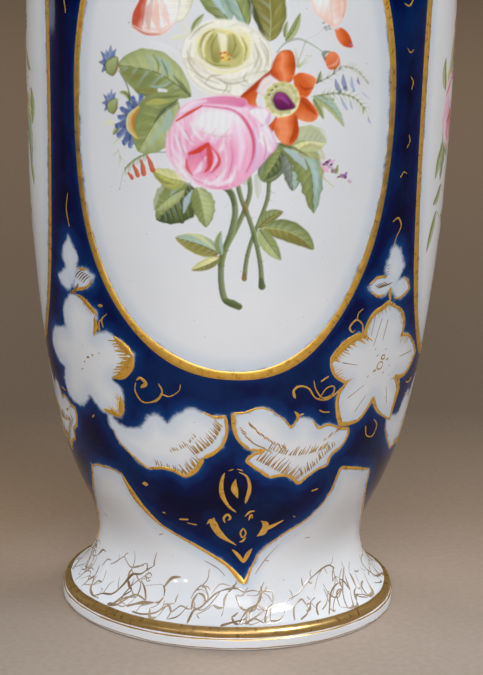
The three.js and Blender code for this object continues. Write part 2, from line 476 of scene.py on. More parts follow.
def white_tone(nodes, links):
    """The body's white: a cool grey-lilac that varies a little and holds a few fine specks."""
    cloud = noise(nodes, links, 30, 4)
    speck = noise(nodes, links, 1.3, 1)
    tone = mixed(nodes, links, mapped(nodes, links, cloud.outputs["Fac"], 0.35, 0.65).outputs[0],
                 WHITE_DEEP, WHITE_CLEAR)
    spots = mapped(nodes, links, speck.outputs["Fac"], 0.765, 0.80, 0.0, 0.5)
    return mixed(nodes, links, spots.outputs[0], tone, (0.30, 0.26, 0.22))


def vertex_value(nodes, name):
    """A value or colour that the piece's vertices carry under a name."""
    node = nodes.new("ShaderNodeAttribute")
    node.attribute_name = name
    return node


def glaze_finish(nodes, links, shader):
    """The clear glaze: glossy, with a very fine orange-peel ripple."""
    ripple = noise(nodes, links, 5, 2)
    smear = noise(nodes, links, 24, 3)
    rough = mapped(nodes, links, smear.outputs["Fac"], 0.3, 0.7, GLAZE_ROUGH[0], GLAZE_ROUGH[1])
    links.new(rough.outputs[0], shader.inputs["Roughness"])
    shader.inputs["IOR"].default_value = 1.5
    shader.inputs["Specular IOR Level"].default_value = 0.18
    bumped(nodes, links, shader, ripple.outputs["Fac"], 0.02)


def glaze_material():
    """White porcelain with underglaze cobalt where the piece's cobalt value is above zero."""
    material, nodes, links, shader = new_material("cobalt_and_white_glaze")
    depth = vertex_value(nodes, "cobalt")
    bleed = noise(nodes, links, 5, 4, 0.6)
    cloud = noise(nodes, links, 26, 4, 0.55)
    drift = mapped(nodes, links, bleed.outputs["Fac"], 0.3, 0.7, -1.0, 1.0)
    soaked = nodes.new("ShaderNodeMath")
    soaked.operation = "MULTIPLY_ADD"
    soaked.inputs[1].default_value = 0.8
    links.new(drift.outputs[0], soaked.inputs[0])
    links.new(depth.outputs["Fac"], soaked.inputs[2])
    away = mapped(nodes, links, soaked.outputs[0], 0.0, 11.0)
    blue = ramp(nodes, links, away.outputs[0], [
        (0.0, (0.060, 0.130, 0.280)), (0.07, (0.006, 0.050, 0.190)), (0.20, (0.0010, 0.022, 0.125)),
        (0.50, (0.0003, 0.0042, 0.052)), (1.0, (0.0002, 0.0012, 0.024))])
    pools = mapped(nodes, links, cloud.outputs["Fac"], 0.46, 0.66, 0.0, 0.9)
    deep = mixed(nodes, links, pools.outputs[0], blue.outputs["Color"], (0.0005, 0.018, 0.092))
    veil = mapped(nodes, links, depth.outputs["Fac"], -9.0, 0.0, 0.0, 0.62)
    veil.interpolation_type = "SMOOTHERSTEP"
    pale = mixed(nodes, links, veil.outputs[0], white_tone(nodes, links), (0.50, 0.585, 0.70))
    edge = mapped(nodes, links, soaked.outputs[0], -1.1, 1.0)
    edge.interpolation_type = "SMOOTHSTEP"
    colour = mixed(nodes, links, edge.outputs[0], pale, deep)
    links.new(colour, shader.inputs["Base Color"])
    glaze_finish(nodes, links, shader)
    return material


def white_material():
    material, nodes, links, shader = new_material("white_glaze")
    links.new(white_tone(nodes, links), shader.inputs["Base Color"])
    glaze_finish(nodes, links, shader)
    return material


def gold_material():
    """Burnished fired gold, streaked by the brush and worn through in places."""
    material, nodes, links, shader = new_material("gilding")
    streak = noise(nodes, links, 2.2, 3, 0.55)
    patch = noise(nodes, links, 13, 3)
    tone = ramp(nodes, links, streak.outputs["Fac"], [
        (0.30, (0.64, 0.345, 0.050)), (0.55, (0.72, 0.405, 0.060)), (0.75, (0.80, 0.475, 0.085))])
    worn_and_dark_reflection = mapped(nodes, links, patch.outputs["Fac"], 0.62, 0.76, 0.0, 0.4)
    colour = mixed(nodes, links, worn_and_dark_reflection.outputs[0], tone.outputs["Color"], (0.30, 0.15, 0.03))
    # The tone value turns the gold brown: for drawn lines, and on the front and back frames' sides as a
    # painted dark reflection.
    drawn = vertex_value(nodes, "tone")
    colour = mixed(nodes, links, drawn.outputs["Fac"], colour, (0.15, 0.105, 0.055))
    links.new(colour, shader.inputs["Base Color"])
    shader.inputs["Metallic"].default_value = 0.45
    rough = mapped(nodes, links, streak.outputs["Fac"], 0.3, 0.7, 0.24, 0.40)
    links.new(rough.outputs[0], shader.inputs["Roughness"])
    bumped(nodes, links, shader, streak.outputs["Fac"], 0.03)
    return material


def vein_material():
    """Thin grey-brown enamel of the marbling; a tone value makes a vein darker."""
    material, nodes, links, shader = new_material("marbling_enamel")
    patch = noise(nodes, links, 7, 4)
    grey = mapped(nodes, links, patch.outputs["Fac"], 0.35, 0.65).outputs[0]
    light = mixed(nodes, links, grey, (0.43, 0.31, 0.20), (0.54, 0.48, 0.42))
    dark = mixed(nodes, links, grey, (0.13, 0.085, 0.045), (0.30, 0.20, 0.09))
    drawn = vertex_value(nodes, "tone")
    links.new(mixed(nodes, links, drawn.outputs["Fac"], light, dark), shader.inputs["Base Color"])
    shader.inputs["Roughness"].default_value = 0.22
    return material


def paint_material():
    """Overglaze enamel: the painted colour where it covers, the body's white elsewhere."""
    material, nodes, links, shader = new_material("painted_enamel")
    paint = vertex_value(nodes, "paint")
    cover = vertex_value(nodes, "cover")
    colour = mixed(nodes, links, cover.outputs["Fac"], white_tone(nodes, links),
                   paint.outputs["Color"])
    links.new(colour, shader.inputs["Base Color"])
    smear = noise(nodes, links, 6, 3)
    rough = mapped(nodes, links, smear.outputs["Fac"], 0.3, 0.7, 0.10, 0.20)
    links.new(rough.outputs[0], shader.inputs["Roughness"])
    return material


GLAZE = glaze_material()
PAINT = paint_material()
VEIN = vein_material()
WHITE = white_material()
GOLD = gold_material()


# ---------------------------------------------------------------- the turned sections
STEPS_ROUND = 480
AXIS_R = 0.02                             # a profile that closes at the axis stops this far from it
NO_COBALT = -6.0                          # cobalt depth of a surface that has none near it


def inner_radius(z):
    """Radius of the inside, so that the wall keeps its thickness square to the surface."""
    slope = outer_slope(z, 0.5)
    return outer_radius(z) - WALL * np.sqrt(1 + slope * slope)


def arc(centre, radii, start, end, steps):
    """Part of an ellipse's outline as (radius, z) rows, between two angles."""
    angle = np.linspace(start, end, steps + 1)
    return np.stack([centre[0] + radii[0] * np.cos(angle), centre[1] + radii[1] * np.sin(angle)], -1)


def turned_section(name, outside_z, inside, material, replaced):
    """A section whose outside is the uneven wall between heights and whose inside is a profile.

    inside holds (radius, height) rows from the top of the outside back down to its bottom.
    """
    x = np.arange(STEPS_ROUND) * ROUND / STEPS_ROUND
    grid_x, grid_z = np.meshgrid(x, outside_z)
    outside = on_wall(grid_x, grid_z)
    turn = x / TURN
    shape = (len(inside), STEPS_ROUND)
    radius = np.broadcast_to(inside[:, :1], shape)
    height = np.broadcast_to(inside[:, 1:], shape)
    within = np.stack([radius * np.sin(turn), -radius * np.cos(turn), height], -1) * MM
    points = np.concatenate([outside, within])
    tangent = np.roll(points, -1, axis=1) - np.roll(points, 1, axis=1)
    ahead = np.roll(points, -1, axis=0) - points
    behind = points - np.roll(points, 1, axis=0)
    normals = np.cross(tangent, ahead + behind)
    normals /= np.linalg.norm(normals, axis=-1, keepdims=True) + 1e-12
    normals[:len(outside_z)] = wall_normal(grid_x, grid_z)
    # The two ends of the inside turn no corner: the next section carries the wall on.
    normals[len(outside_z)] = normals[len(outside_z) + 1]
    normals[-1] = normals[-2]
    rows = len(points)
    faces = grid_faces(rows + 1, STEPS_ROUND, True) % (rows * STEPS_ROUND)
    depth = np.full((rows, STEPS_ROUND), NO_COBALT)
    painted = cobalt_depth(grid_x, grid_z).reshape(grid_x.shape)
    depth[:len(outside_z)] = np.clip(painted, NO_COBALT, 12)
    piece = make_mesh(name, points.reshape(-1, 3), faces.ravel(), np.full(len(faces), 4),
                      normals.reshape(-1, 3), values={"cobalt": depth.ravel()})
    finish_piece(piece, material, replaced)


def inside_run(top, bottom, steps):
    """The inside of the wall going down, as (radius, z) rows."""
    z = np.linspace(top, bottom, steps)
    return np.stack([inner_radius(z), z], -1)


def make_lower_body():
    """The lower half of the body: a cup with a closed, slightly dished floor."""
    rise = FLOOR_FILLET_Z - FLOOR_Z
    fillet_r = float(inner_radius(FLOOR_FILLET_Z)) - rise
    bowl = arc((fillet_r, FLOOR_FILLET_Z), (rise, rise), 0, -math.pi / 2, 10)[1:]
    middle = [(20.0, FLOOR_Z - 0.3), (6.0, FLOOR_Z - 0.4), (AXIS_R, FLOOR_Z - 0.4)]
    under = [(AXIS_R, FOOT_TOP), (FOOT_ROOF_R, FOOT_TOP)]
    inside = np.vstack([inside_run(BELLY_JOINT, FLOOR_FILLET_Z, 40), bowl, middle, under])
    z = np.linspace(FOOT_TOP, BELLY_JOINT, 172)
    turned_section("lower_body_skin", z, inside, GLAZE,
                          ("lower_body", "waist_slip_ring"))


def make_sleeve(name, low, high, rows, inside_rows, replaced):
    """A plain stretch of wall between two heights."""
    inside = inside_run(high, low, inside_rows)
    turned_section(name, np.linspace(low, high, rows), inside, GLAZE, replaced)


def rim_profile():
    """The rounded rim of the lip, from outside over the top to inside."""
    outer = float(outer_radius(LIP_SHOULDER))
    return arc((outer, HEIGHT - 2.2), (4.4, 2.2), -0.2 * math.pi, 0.75 * math.pi, 20)


def make_lip():
    """The flaring lip, with a rounded rim."""
    wall_z = np.linspace(COLLAR_JOINT, LIP_SHOULDER, 20)
    inside = np.vstack([rim_profile(), inside_run(LIP_SHOULDER, COLLAR_JOINT, 14)])
    turned_section("lip_skin", wall_z, inside, WHITE, ("lip", "collar_slip_ring"))


def foot_edge_profile():
    """The outside of the foot below the cove, from the tread's inner edge up, as (radius, z)."""
    return np.vstack([
        [(TREAD_R, 0.0), (BASE_R - 1.2, 0.0)],
        arc((BASE_R - 1.2, 1.2), (1.2, 1.2), -0.5 * math.pi, 0, 5)[1:],
        [(BASE_R, 3.6)],
        arc((BASE_R - 0.7, 3.7), (0.7, 0.7), 0, 0.45 * math.pi, 4)[1:],
        arc((58.6, 5.6), (2.4, 2.3), -0.12 * math.pi, 0.5 * math.pi, 12),
        [(58.2, 8.05)],
    ])


def make_foot():
    """The spreading foot: a flat tread, an upright band, a step, a rounded edge and the cove."""
    cove_z = np.linspace(COVE_Z, FOOT_TOP, 44)
    inside = np.vstack([
        [(FOOT_ROOF_R, FOOT_TOP)],
        arc((TREAD_R - 0.6, 26.0), (15.0, 21.4), math.pi, 1.5 * math.pi, 12),
        [(TREAD_R, 2.4)],
        foot_edge_profile(),
    ])
    turned_section("foot_skin", cove_z, inside, GLAZE, ("foot",))


make_lower_body()
make_sleeve("upper_body_skin", BELLY_JOINT, SHOULDER_JOINT, 140, 32,
            ("upper_body", "belly_slip_ring"))
make_sleeve("neck_skin", SHOULDER_JOINT, COLLAR_JOINT, 48, 16,
            ("neck", "shoulder_slip_ring"))
make_lip()
make_foot()


# ---------------------------------------------------------------- gilding and drawn lines
ACROSS = np.array([-1.0, -0.75, 0.0, 0.75, 1.0])      # a stroke's section, of half its width
RISE = np.array([-0.15, 0.7, 1.0, 0.7, -0.15])         # and of its height; its edges lie in the glaze
SECTION = len(ACROSS)
HAND = np.random.default_rng(11)
REPEATS = (0.0, HALF_ROUND)                            # the decoration comes twice round the vase
SIDES = (SIDE, SIDE + HALF_ROUND)


def waver(count, reach, amount):
    """A smooth random wander of about the given amount, with bends reach rows long."""
    t = np.arange(count)
    total = np.zeros(count)
    for part in (1.0, 2.3, 4.1):
        total += np.sin(t * part / reach + HAND.uniform(0, PHASE)) / part
    return total * amount / 1.4


class Strokes:
    """Raised brush strokes that follow the wall, gathered to make one piece."""

    def __init__(self):
        self.points, self.normals, self.loops, self.sizes, self.tones = [], [], [], [], []
        self.count = 0

    def add(self, line, width, height=0.12, closed=False, tone=0.0, shake=0.12):
        """A stroke along (x, z) rows; width is one number or several spread along it."""
        line = np.asarray(line, float)
        rows = len(line)
        width = np.interp(np.linspace(0, 1, rows), np.linspace(0, 1, np.size(width)),
                          np.ravel(width))
        if closed:
            forward = np.roll(line, -1, 0) - np.roll(line, 1, 0)
            width = width * (1 + 0.10 * np.sin(np.arange(rows) * 2 * math.pi / rows * 9))
        else:
            forward = np.gradient(line, axis=0)
            width = width * (1 + waver(rows, 9, shake))
            gone = run_lengths(line)
            ends = np.minimum(gone, gone[-1] - gone) / (0.8 * max(width.max(), 0.4))
            width = width * np.sqrt(np.clip(ends, 0.03, 1))
        stretch = outer_radius(line[:, 1]) / TURN
        forward = forward * np.stack([stretch, np.ones(rows)], -1)
        forward /= np.linalg.norm(forward, axis=1, keepdims=True) + 1e-9
        side = np.stack([-forward[:, 1] / stretch, forward[:, 0]], -1)
        place = line[:, None] + ACROSS[:, None] * (width / 2)[:, None, None] * side[:, None]
        section = on_wall(place[..., 0], place[..., 1], RISE * height)
        lateral = section[:, -1] - section[:, 0]
        lateral /= np.linalg.norm(lateral, axis=1, keepdims=True) + 1e-12
        normal = (wall_normal(line[:, 0], line[:, 1])[:, None]
                  + lateral[:, None] * (ACROSS * 0.55)[:, None])
        normal /= np.linalg.norm(normal, axis=-1, keepdims=True)
        index = np.arange(rows * SECTION).reshape(rows, SECTION)
        ahead = np.roll(index, -1, 0) if closed else index[1:]
        here = index if closed else index[:-1]
        quads = np.stack([here, ahead, np.roll(ahead, -1, 1), np.roll(here, -1, 1)], -1)
        self.loops.append(quads.ravel() + self.count)
        self.sizes.append(np.full(quads.size // 4, 4))
        if not closed:
            self.loops.append(np.concatenate([index[0], index[-1][::-1]]) + self.count)
            self.sizes.append(np.array([SECTION, SECTION]))
        self.points.append(section.reshape(-1, 3))
        self.normals.append(normal.reshape(-1, 3))
        tones = np.broadcast_to(np.asarray(tone, float), rows)
        self.tones.append(np.repeat(tones, SECTION))
        self.count += rows * SECTION

    def everywhere(self, line, width, turns=REPEATS, **how):
        """The stroke in each of the places where the decoration repeats."""
        line = np.asarray(line, float)
        for dx in turns:
            for upside_down in (False, True):
                z = 2 * MIDDLE_Z - line[:, 1] if upside_down else line[:, 1]
                self.add(np.stack([line[:, 0] + dx, z], -1), width, **how)

    def fringe(self, run, inward, spacing, width):
        """Short tapering strokes from an edge inward, like the hairs of a loaded brush."""
        count = max(int(len(run) * 0.5 / spacing), 2)
        for i in range(count):
            place = run[int((i + 0.5) * len(run) / count)]
            reach = HAND.uniform(0.55, 1.15)
            sway = HAND.uniform(-0.12, 0.12)
            dx, dz = inward[0] * reach, inward[1] * reach
            tip = (place[0] + dx - sway * dz, place[1] + dz + sway * dx)
            self.everywhere(spline([place, tip], 0.6), [width, width * 0.25])

    def piece(self, name, material, slot):
        """One piece of all the strokes gathered."""
        piece = make_mesh(name, np.concatenate(self.points), np.concatenate(self.loops),
                          np.concatenate(self.sizes), np.concatenate(self.normals),
                          values={"tone": np.concatenate(self.tones)})
        finish_piece(piece, material)


def gild_frames(gold):
    """The bands round the panels, broadest at the head and foot."""
    for name, width_side, width_end in (("front", 2.8, 3.5), ("back", 2.8, 3.5),
                                        ("right", 3.3, 3.5), ("left", 2.5, 3.0)):
        middle, half_width, half_height, fullness, drift = PANELS[name]
        ring = panel_ring(middle, half_width, half_height, fullness, drift, 620, 1.3)
        end = np.abs(ring[:, 1] - MIDDLE_Z) / half_height
        width = width_side + (width_end - width_side) * np.clip(end, 0, 1) ** 3
        # Painted dark reflection: the front and back frames are painted darker, in uneven patches,
        # along their sides about mid-height; the other frames get a slight even tone.
        worn_and_dark_reflection = np.clip(1 - np.abs(ring[:, 1] - MIDDLE_Z + 14) / 46, 0, 1) ** 0.7
        patchy = 0.75 + 0.25 * np.sin(ring[:, 1] * 0.31) * np.sin(ring[:, 1] * 0.83 + ring[:, 0])
        tone = 0.8 * worn_and_dark_reflection * patchy if name in ("front", "back") else 0.12
        gold.add(ring, width, height=0.16, closed=True, tone=tone)


def gild_flowers(gold):
    """The right flower is edged all round and shaded with short hairs; the left one in part."""
    right = outline(FLOWER_RIGHT)
    turn = np.arange(len(right)) / len(right) * 2 * math.pi
    width = 1.35 + 0.35 * np.sin(turn * 3 + 1) + 0.25 * np.sin(turn * 7)
    for dx in REPEATS:
        for upside_down in (False, True):
            ring = outline(placed(FLOWER_RIGHT, dx=dx, upside_down=upside_down))
            gold.add(ring, width, height=0.14, closed=True)
    upper_left = spline(FLOWER_RIGHT[4:9])
    gold.everywhere(upper_left + (0.7, -1.0), [1.2, 2.4, 2.6, 2.0])
    gold.fringe(upper_left, (5.6, -3.0), 0.9, 0.9)
    gold.fringe(spline(FLOWER_RIGHT[0:5]), (1.6, -3.0), 1.1, 0.6)
    gold.fringe(spline(FLOWER_RIGHT[8:12]), (3.6, 1.2), 1.2, 0.6)
    gold.fringe(spline(FLOWER_RIGHT[24:28]), (-4.2, -0.6), 1.2, 0.6)
    gold.fringe(spline(FLOWER_RIGHT[29:33]), (-1.5, -2.6), 1.3, 0.5)
    gold.everywhere(spline([(79, 94.6), (80.4, 91), (80.2, 86), (78.6, 79.6)]), [1.2, 3.0, 2.6, 1.2])
    for start, end in (((64.5, 119), (62.8, 111)), ((61, 120), (58, 110)), ((43, 106), (51, 104)),
                       ((48, 92), (56, 96)), ((88, 103), (76, 103)), ((53, 86), (58, 92)),
                       ((73, 86), (70, 93)), ((57, 121), (56, 114))):
        gold.everywhere(spline([start, end], 0.6), [0.35, 0.2], tone=0.75, height=0.05)
    # Left flower: only the edges that turn towards the panel are gilded.
    gold.everywhere(spline(FLOWER_LEFT[0:4]), [0.9, 2.2, 1.6])
    gold.everywhere(spline([(-56.4, 118.6), (-56.2, 115), (-57.6, 111.6)]), [1.9, 2.2, 1.2])
    gold.everywhere(spline([(-47.6, 113.2), (-43.4, 110.2), (-39.2, 107.2)]), [1.2, 3.0, 3.0])
    gold.everywhere(spline([(-39.2, 107.2), (-41, 103.4), (-44.2, 99.4), (-49.8, 97.2)]),
                    [3.4, 4.2, 3.0, 1.2])
    gold.everywhere(spline([(-46.6, 91.2), (-46.5, 87.6), (-47.6, 83.4)]), [0.8, 2.6, 2.6])
    gold.everywhere(spline([(-47.6, 83.4), (-51.6, 83.8), (-56.4, 84.4)]), [2.0, 2.2, 1.2])
    gold.fringe(spline([(-45.5, 111.6), (-41, 106.4), (-44.2, 100.6)]), (-4.8, -0.9), 0.8, 0.9)
    gold.fringe(spline(FLOWER_LEFT[1:4]), (-0.8, -2.6), 1.0, 0.5)
    gold.fringe(spline([(-47, 91), (-48, 85), (-52, 84.6)]), (-2.0, 1.8), 1.0, 0.6)
    # Hearts.
    for x, z, size in ((63.4, 102.0, 1.7), (64.6, 104.9, 1.0)):
        turn = np.linspace(0, 2 * math.pi, 17)[:-1]
        ring = np.stack([x + size * np.cos(turn), z + size * 0.8 * np.sin(turn)], -1)
        gold.everywhere(np.vstack([ring, ring[:1]]), 0.5, tone=0.35, height=0.08)
    for x, z, size in ((60.6, 100.4, 0.9), (67.4, 103.6, 0.8), (61.0, 106.0, 0.5), (66.2, 98.8, 0.5),
                       (57.2, 98.9, 0.4), (69.6, 100.8, 0.4), (65.6, 107.6, 0.4), (59.4, 108.6, 0.35),
                       (70.4, 97.2, 0.35), (-62.2, 102.6, 0.9), (-64.6, 100.6, 0.5),
                       (-59.4, 104.0, 0.5), (-55.4, 105.4, 0.4), (-66.6, 97.4, 0.5)):
        gold.everywhere(spline([(x - size, z - 0.2), (x + size, z + 0.3)], 0.4), size,
                        tone=0.6, height=0.08)


def gild_buds(gold):
    """Edges and a few fine hairs on the three-lobed buds above the flowers."""
    gold.everywhere(spline([(52, 133.2), (56, 135.2), (60.6, 134.9)]), [0.5, 1.0, 0.7])
    gold.everywhere(spline([(53.4, 130.4), (57, 128.4), (60.4, 128.6)]), [0.4, 1.0, 0.7])
    gold.everywhere(spline([(66, 126.4), (70.2, 125.8), (73.6, 127), (76.2, 128.2)]), [0.4, 1.0, 1.0])
    gold.everywhere(spline([(76.2, 128.2), (74, 131.4), (71, 133.2)]), [1.0, 0.9, 0.5])
    gold.everywhere(spline([(63.6, 130.8), (63.6, 128.4), (64.4, 125.6)]), [1.4, 1.6, 1.0])
    gold.everywhere(spline([(-58.4, 135.4), (-61, 134.9), (-64, 134.8)]), [0.5, 1.0, 0.4])
    gold.everywhere(spline([(-66.4, 126.6), (-62, 127.8), (-58.4, 129.6), (-56.4, 132.2)]),
                    [1.0, 1.4, 0.9, 0.5])
    gold.everywhere(spline([(-69.4, 124.6), (-66.4, 126.4), (-64, 129.4)]), [1.2, 1.4, 0.4], tone=0.6)
    for side, start in ((1, (55.2, 131.0)), (-1, (-58.6, 131.6))):
        for i in range(5):
            x, z = start[0] + side * i * 1.1, start[1] + 0.35 * i * (1 if side < 0 else 0.4)
            line = spline([(x - 0.4 * side, z + 1.8), (x + 2.2 * side, z + 0.4),
                           (x + 4.8 * side, z + 0.9)]
                          if side > 0 else [(x + 1.6, z + 1.6), (x - 0.6, z + 0.4), (x - 3, z - 1.8)])
            gold.everywhere(line, [0.3, 0.5, 0.25], tone=0.9, height=0.06)
    for i in range(4):
        gold.everywhere(spline([(60.2, 135.2 + i * 1.2), (61.9, 135.9 + i * 1.1)]), 0.3, tone=0.9,
                        height=0.06)


def gild_leaves(gold):
    """Worn edges and fine hatching on the serrated leaves."""
    right = LEAF_RIGHT + LEAF_RIGHT[:1]
    left = LEAF_LEFT + LEAF_LEFT[:1]
    edges = [
        (right, 0, 2, [0.8, 1.2]), (right, 1, 6, [1.1, 0.6, 0.3, 0.9]), (right, 5, 7, [0.9, 0.4]),
        (right, 8, 10, [0.4, 0.9]), (right, 9, 14, [1.0, 0.7, 1.2]), (right, 13, 17, [1.4, 0.8, 1.5]),
        (right, 16, 18, [1.4, 1.0]), (right, 17, 21, [1.0, 0.9, 1.5]), (right, 20, 24, [1.5, 0.9, 1.3]),
        (right, 23, 26, [1.3, 1.0, 1.4]), (right, 25, 29, [1.4, 1.3, 1.1]),
        (right, 28, 33, [1.2, 1.0, 1.5, 1.9]), (right, 30, 34, [1.4, 1.8, 1.4]),
        (left, 0, 3, [1.3, 0.5]), (left, 15, 19, [0.9, 1.6]), (left, 12, 16, [0.3, 0.9]),
        (left, 18, 21, [1.6, 1.7, 1.6]), (left, 20, 25, [1.6, 1.3, 1.1, 1.5]),
    ]
    for turns, squeeze in ((REPEATS, 1.0), (SIDES, SIDE_SQUEEZE)):
        for leaf, first, end, width in edges:
            gold.everywhere(spline(placed(leaf[first:end], squeeze=squeeze)), width, turns)
        hatches = [([(2.6, 84.4), (6, 80), (10, 77.6), (15, 75.4)], (2.4, -1.2), 3.0, 16),
                   ([(6.4, 86.6), (11, 82.4), (17, 78.6), (22, 76.6)], (1.6, -2.2), 3.0, 17),
                   ([(10.6, 71.2), (18, 67.6), (24.6, 64.4), (30, 62.6)], (2.2, 2.6), 6.4, 24),
                   ([(15, 75.4), (24, 72.6), (33, 72.4), (41, 73.6)], (1.5, 2.6), 4.2, 24),
                   ([(31, 63.4), (36, 66.4), (41, 70.6), (46, 74.4)], (-1.4, 2.8), 4.4, 18),
                   ([(39, 76.4), (43.6, 78.6), (48, 80.4)], (1.4, 2.4), 2.2, 9),
                   ([(-3.4, 84), (-6.4, 78.6), (-11, 74.6), (-14.6, 72.6)], (-2.2, 2.2), 5.0, 24),
                   ([(-12.6, 70.4), (-16, 66.6), (-20, 63.8)], (-2.4, 2.6), 5.6, 14),
                   ([(-20, 64.4), (-26, 66), (-33, 66.6)], (-0.6, 2.6), 2.6, 10),
                   ([(-14, 79.6), (-19, 75), (-25, 72.6)], (-1.6, 2.0), 2.4, 12)]
        for line, lean, length, count in hatches:
            path = spline(placed(line, squeeze=squeeze))
            size = math.hypot(*lean)
            for i in range(count):
                x, z = path[int((i + 0.5) * len(path) / count)]
                reach = length * HAND.uniform(0.45, 1.1) / size
                bow = HAND.uniform(-0.5, 0.5)
                middle = (x + lean[0] * reach * 0.5 + bow, z + lean[1] * reach * 0.5)
                tip = (x + lean[0] * reach, z + lean[1] * reach + HAND.uniform(-0.4, 0.4))
                gold.everywhere(spline([(x, z), middle, tip], 0.6), [0.62, 0.42, 0.16], turns,
                                tone=HAND.uniform(0.25, 0.65), height=0.05)


def gild_centre(gold):
    """The small ornament in the drop of the ground below the two leaves, and loose dashes."""
    strokes = [
        ([(-2.4, 66.4), (-3.6, 62.6), (-3.4, 57.6), (-0.6, 53), (3.2, 50.2)],
         [0.6, 1.7, 1.9, 1.1, 0.5]),
        ([(3.6, 66.8), (7, 65), (8.6, 60.4), (7.2, 54)], [0.4, 0.9, 1.7, 0.9]),
        ([(-0.8, 67.2), (1.4, 67.9)], 0.4), ([(2.8, 68), (5.4, 67.3)], 0.4),
        ([(2.4, 64), (1.9, 60.4), (3.6, 56.2)], [0.8, 3.0, 0.9]),
        ([(-1.9, 45.4), (-2.6, 47.6), (-0.8, 49.2), (0.6, 47.8), (-0.6, 46.6)],
         [0.6, 0.9, 1.0, 0.9, 0.6]),
        ([(7.4, 48.4), (9.6, 50.4), (12, 50.8)], [0.4, 0.8, 0.4]),
        ([(9.4, 46.8), (10.4, 49.2), (11.2, 47.6)], [0.5, 0.9, 0.5]),
        ([(-11, 44.6), (-8.4, 46), (-6.4, 42.4), (-2.6, 39), (4.2, 35.8)], [0.8, 2.8, 2.4, 1.2, 0.5]),
        ([(-7.4, 47.6), (-7.8, 44.4)], 1.2),
        ([(14.6, 39.6), (17.6, 41.4), (18.2, 44.6), (15.4, 46.4)], [0.6, 2.6, 2.4, 0.6]),
        ([(18, 42.6), (22, 43.8), (27, 46)], [1.9, 1.2, 0.5]),
        ([(7.2, 43.4), (5.9, 41.2), (7.2, 39.2), (8.7, 41), (7.4, 43.2)], 0.6),
        ([(5.6, 37.2), (7.2, 37.6), (9, 39.4)], [0.4, 0.9, 0.4]),
        ([(2, 34), (5.4, 31.6), (8.6, 28.6)], [0.6, 1.6, 1.2]),
        ([(8.6, 28.6), (10.4, 31.6), (12.8, 34.4)], [1.2, 1.8, 0.7]),
        ([(-41, 58.2), (-38, 58.3)], 1.8), ([(38, 57.2), (41.4, 57.8)], 0.6),
        ([(-25, 45.4), (-20, 45.8)], 0.8), ([(-21, 44.2), (-16, 43.8)], 0.4),
        ([(-33.4, 47.4), (-31.6, 47.2)], 0.5), ([(31.6, 47.4), (33, 46.8)], 0.4),
    ]
    for points, width in strokes:
        gold.everywhere(spline(points), width)
        if abs(points[0][0]) < 20:
            gold.everywhere(spline(placed(points, squeeze=0.9, about=7)), width, SIDES)


def gild_curls(gold):
    """Loose tendrils in the blue beside the flowers and leaves."""
    strokes = [
        ([(24.6, 94.4), (23.8, 97.4), (26.4, 98.8), (30, 97.6), (33.4, 93.8), (39, 93), (46, 97.2)],
         [1.2, 0.9, 0.6, 0.5, 0.7, 0.8, 1.1]),
        ([(31.6, 100.6), (33, 97), (36.4, 93.6), (40.6, 94.6), (40.8, 97.4), (37.4, 97), (34.6, 93)],
         [0.4, 0.5, 0.6, 0.6, 0.6, 0.5, 0.4]),
        ([(34.6, 99.8), (38, 101.6)], 0.7), ([(35.4, 89.2), (37.4, 88.2), (40.4, 87.8)], 0.5),
        ([(24.8, 89.6), (26.6, 87.6), (26.2, 85.2)], [0.5, 1.5, 0.8]),
        ([(26.6, 87.6), (29, 88.4)], 0.6),
        ([(51.6, 115.6), (50.8, 119), (47.8, 121), (45, 118.8), (46.4, 116.8), (47.6, 117.4)],
         [1.0, 0.6, 0.6, 0.8, 0.8, 0.5]),
        ([(48, 120.8), (48.4, 123.4), (50.4, 124.8)], 0.4),
        ([(-52.2, 115.4), (-52.6, 118.4), (-49.8, 120.8)], [0.6, 0.5, 0.3]),
        ([(-54.2, 123), (-51.6, 123.4)], 1.2),
        ([(-54.4, 113.6), (-54.2, 117), (-51.8, 118.8)], [1.4, 0.7, 0.4]),
        ([(-38.6, 97.4), (-39.2, 94.2), (-36.8, 90.8), (-33.6, 90.6), (-29.6, 92.2), (-27.4, 95.4),
          (-28.8, 98.4)], [0.4, 0.5, 0.6, 0.4, 1.0, 0.7, 0.5]),
        ([(-28.2, 94.6), (-24.4, 94), (-20.6, 96.4), (-19.8, 99)], [0.7, 0.4, 0.3, 0.3]),
        ([(-36.6, 95.8), (-34.2, 97.6), (-36.4, 99.4), (-38.4, 98.2)], [1.3, 1.4, 1.1, 0.5]),
        ([(61.2, 79.6), (63, 75.6), (67.4, 74.6), (69, 78.4), (66, 81.2)], [0.4, 0.5, 0.6, 0.5, 0.4]),
        ([(66, 204.4), (67.6, 202.2), (66.8, 199.8)], [0.2, 0.6, 0.25]),
        ([(63.4, 214.4), (65.2, 212.6), (67, 213.4)], [0.2, 0.5, 0.25]),
        ([(61, 154.4), (64, 155.4), (66, 152.4), (64, 149), (62.6, 145.6)], [0.4, 0.7, 0.5, 0.3, 0.3]),
        ([(-67.4, 149), (-68.8, 155), (-67.6, 161)], [0.3, 0.6, 0.3]),
        ([(-64.6, 79.6), (-63, 81)], 0.6), ([(88, 91), (92, 90), (96, 91)], 0.6),
        ([(90, 86), (96, 84.6)], 0.5), ([(-88, 86), (-84, 85.4)], 0.5),
    ]
    for points, width in strokes:
        gold.everywhere(spline(points, 0.4), width, tone=0.12)


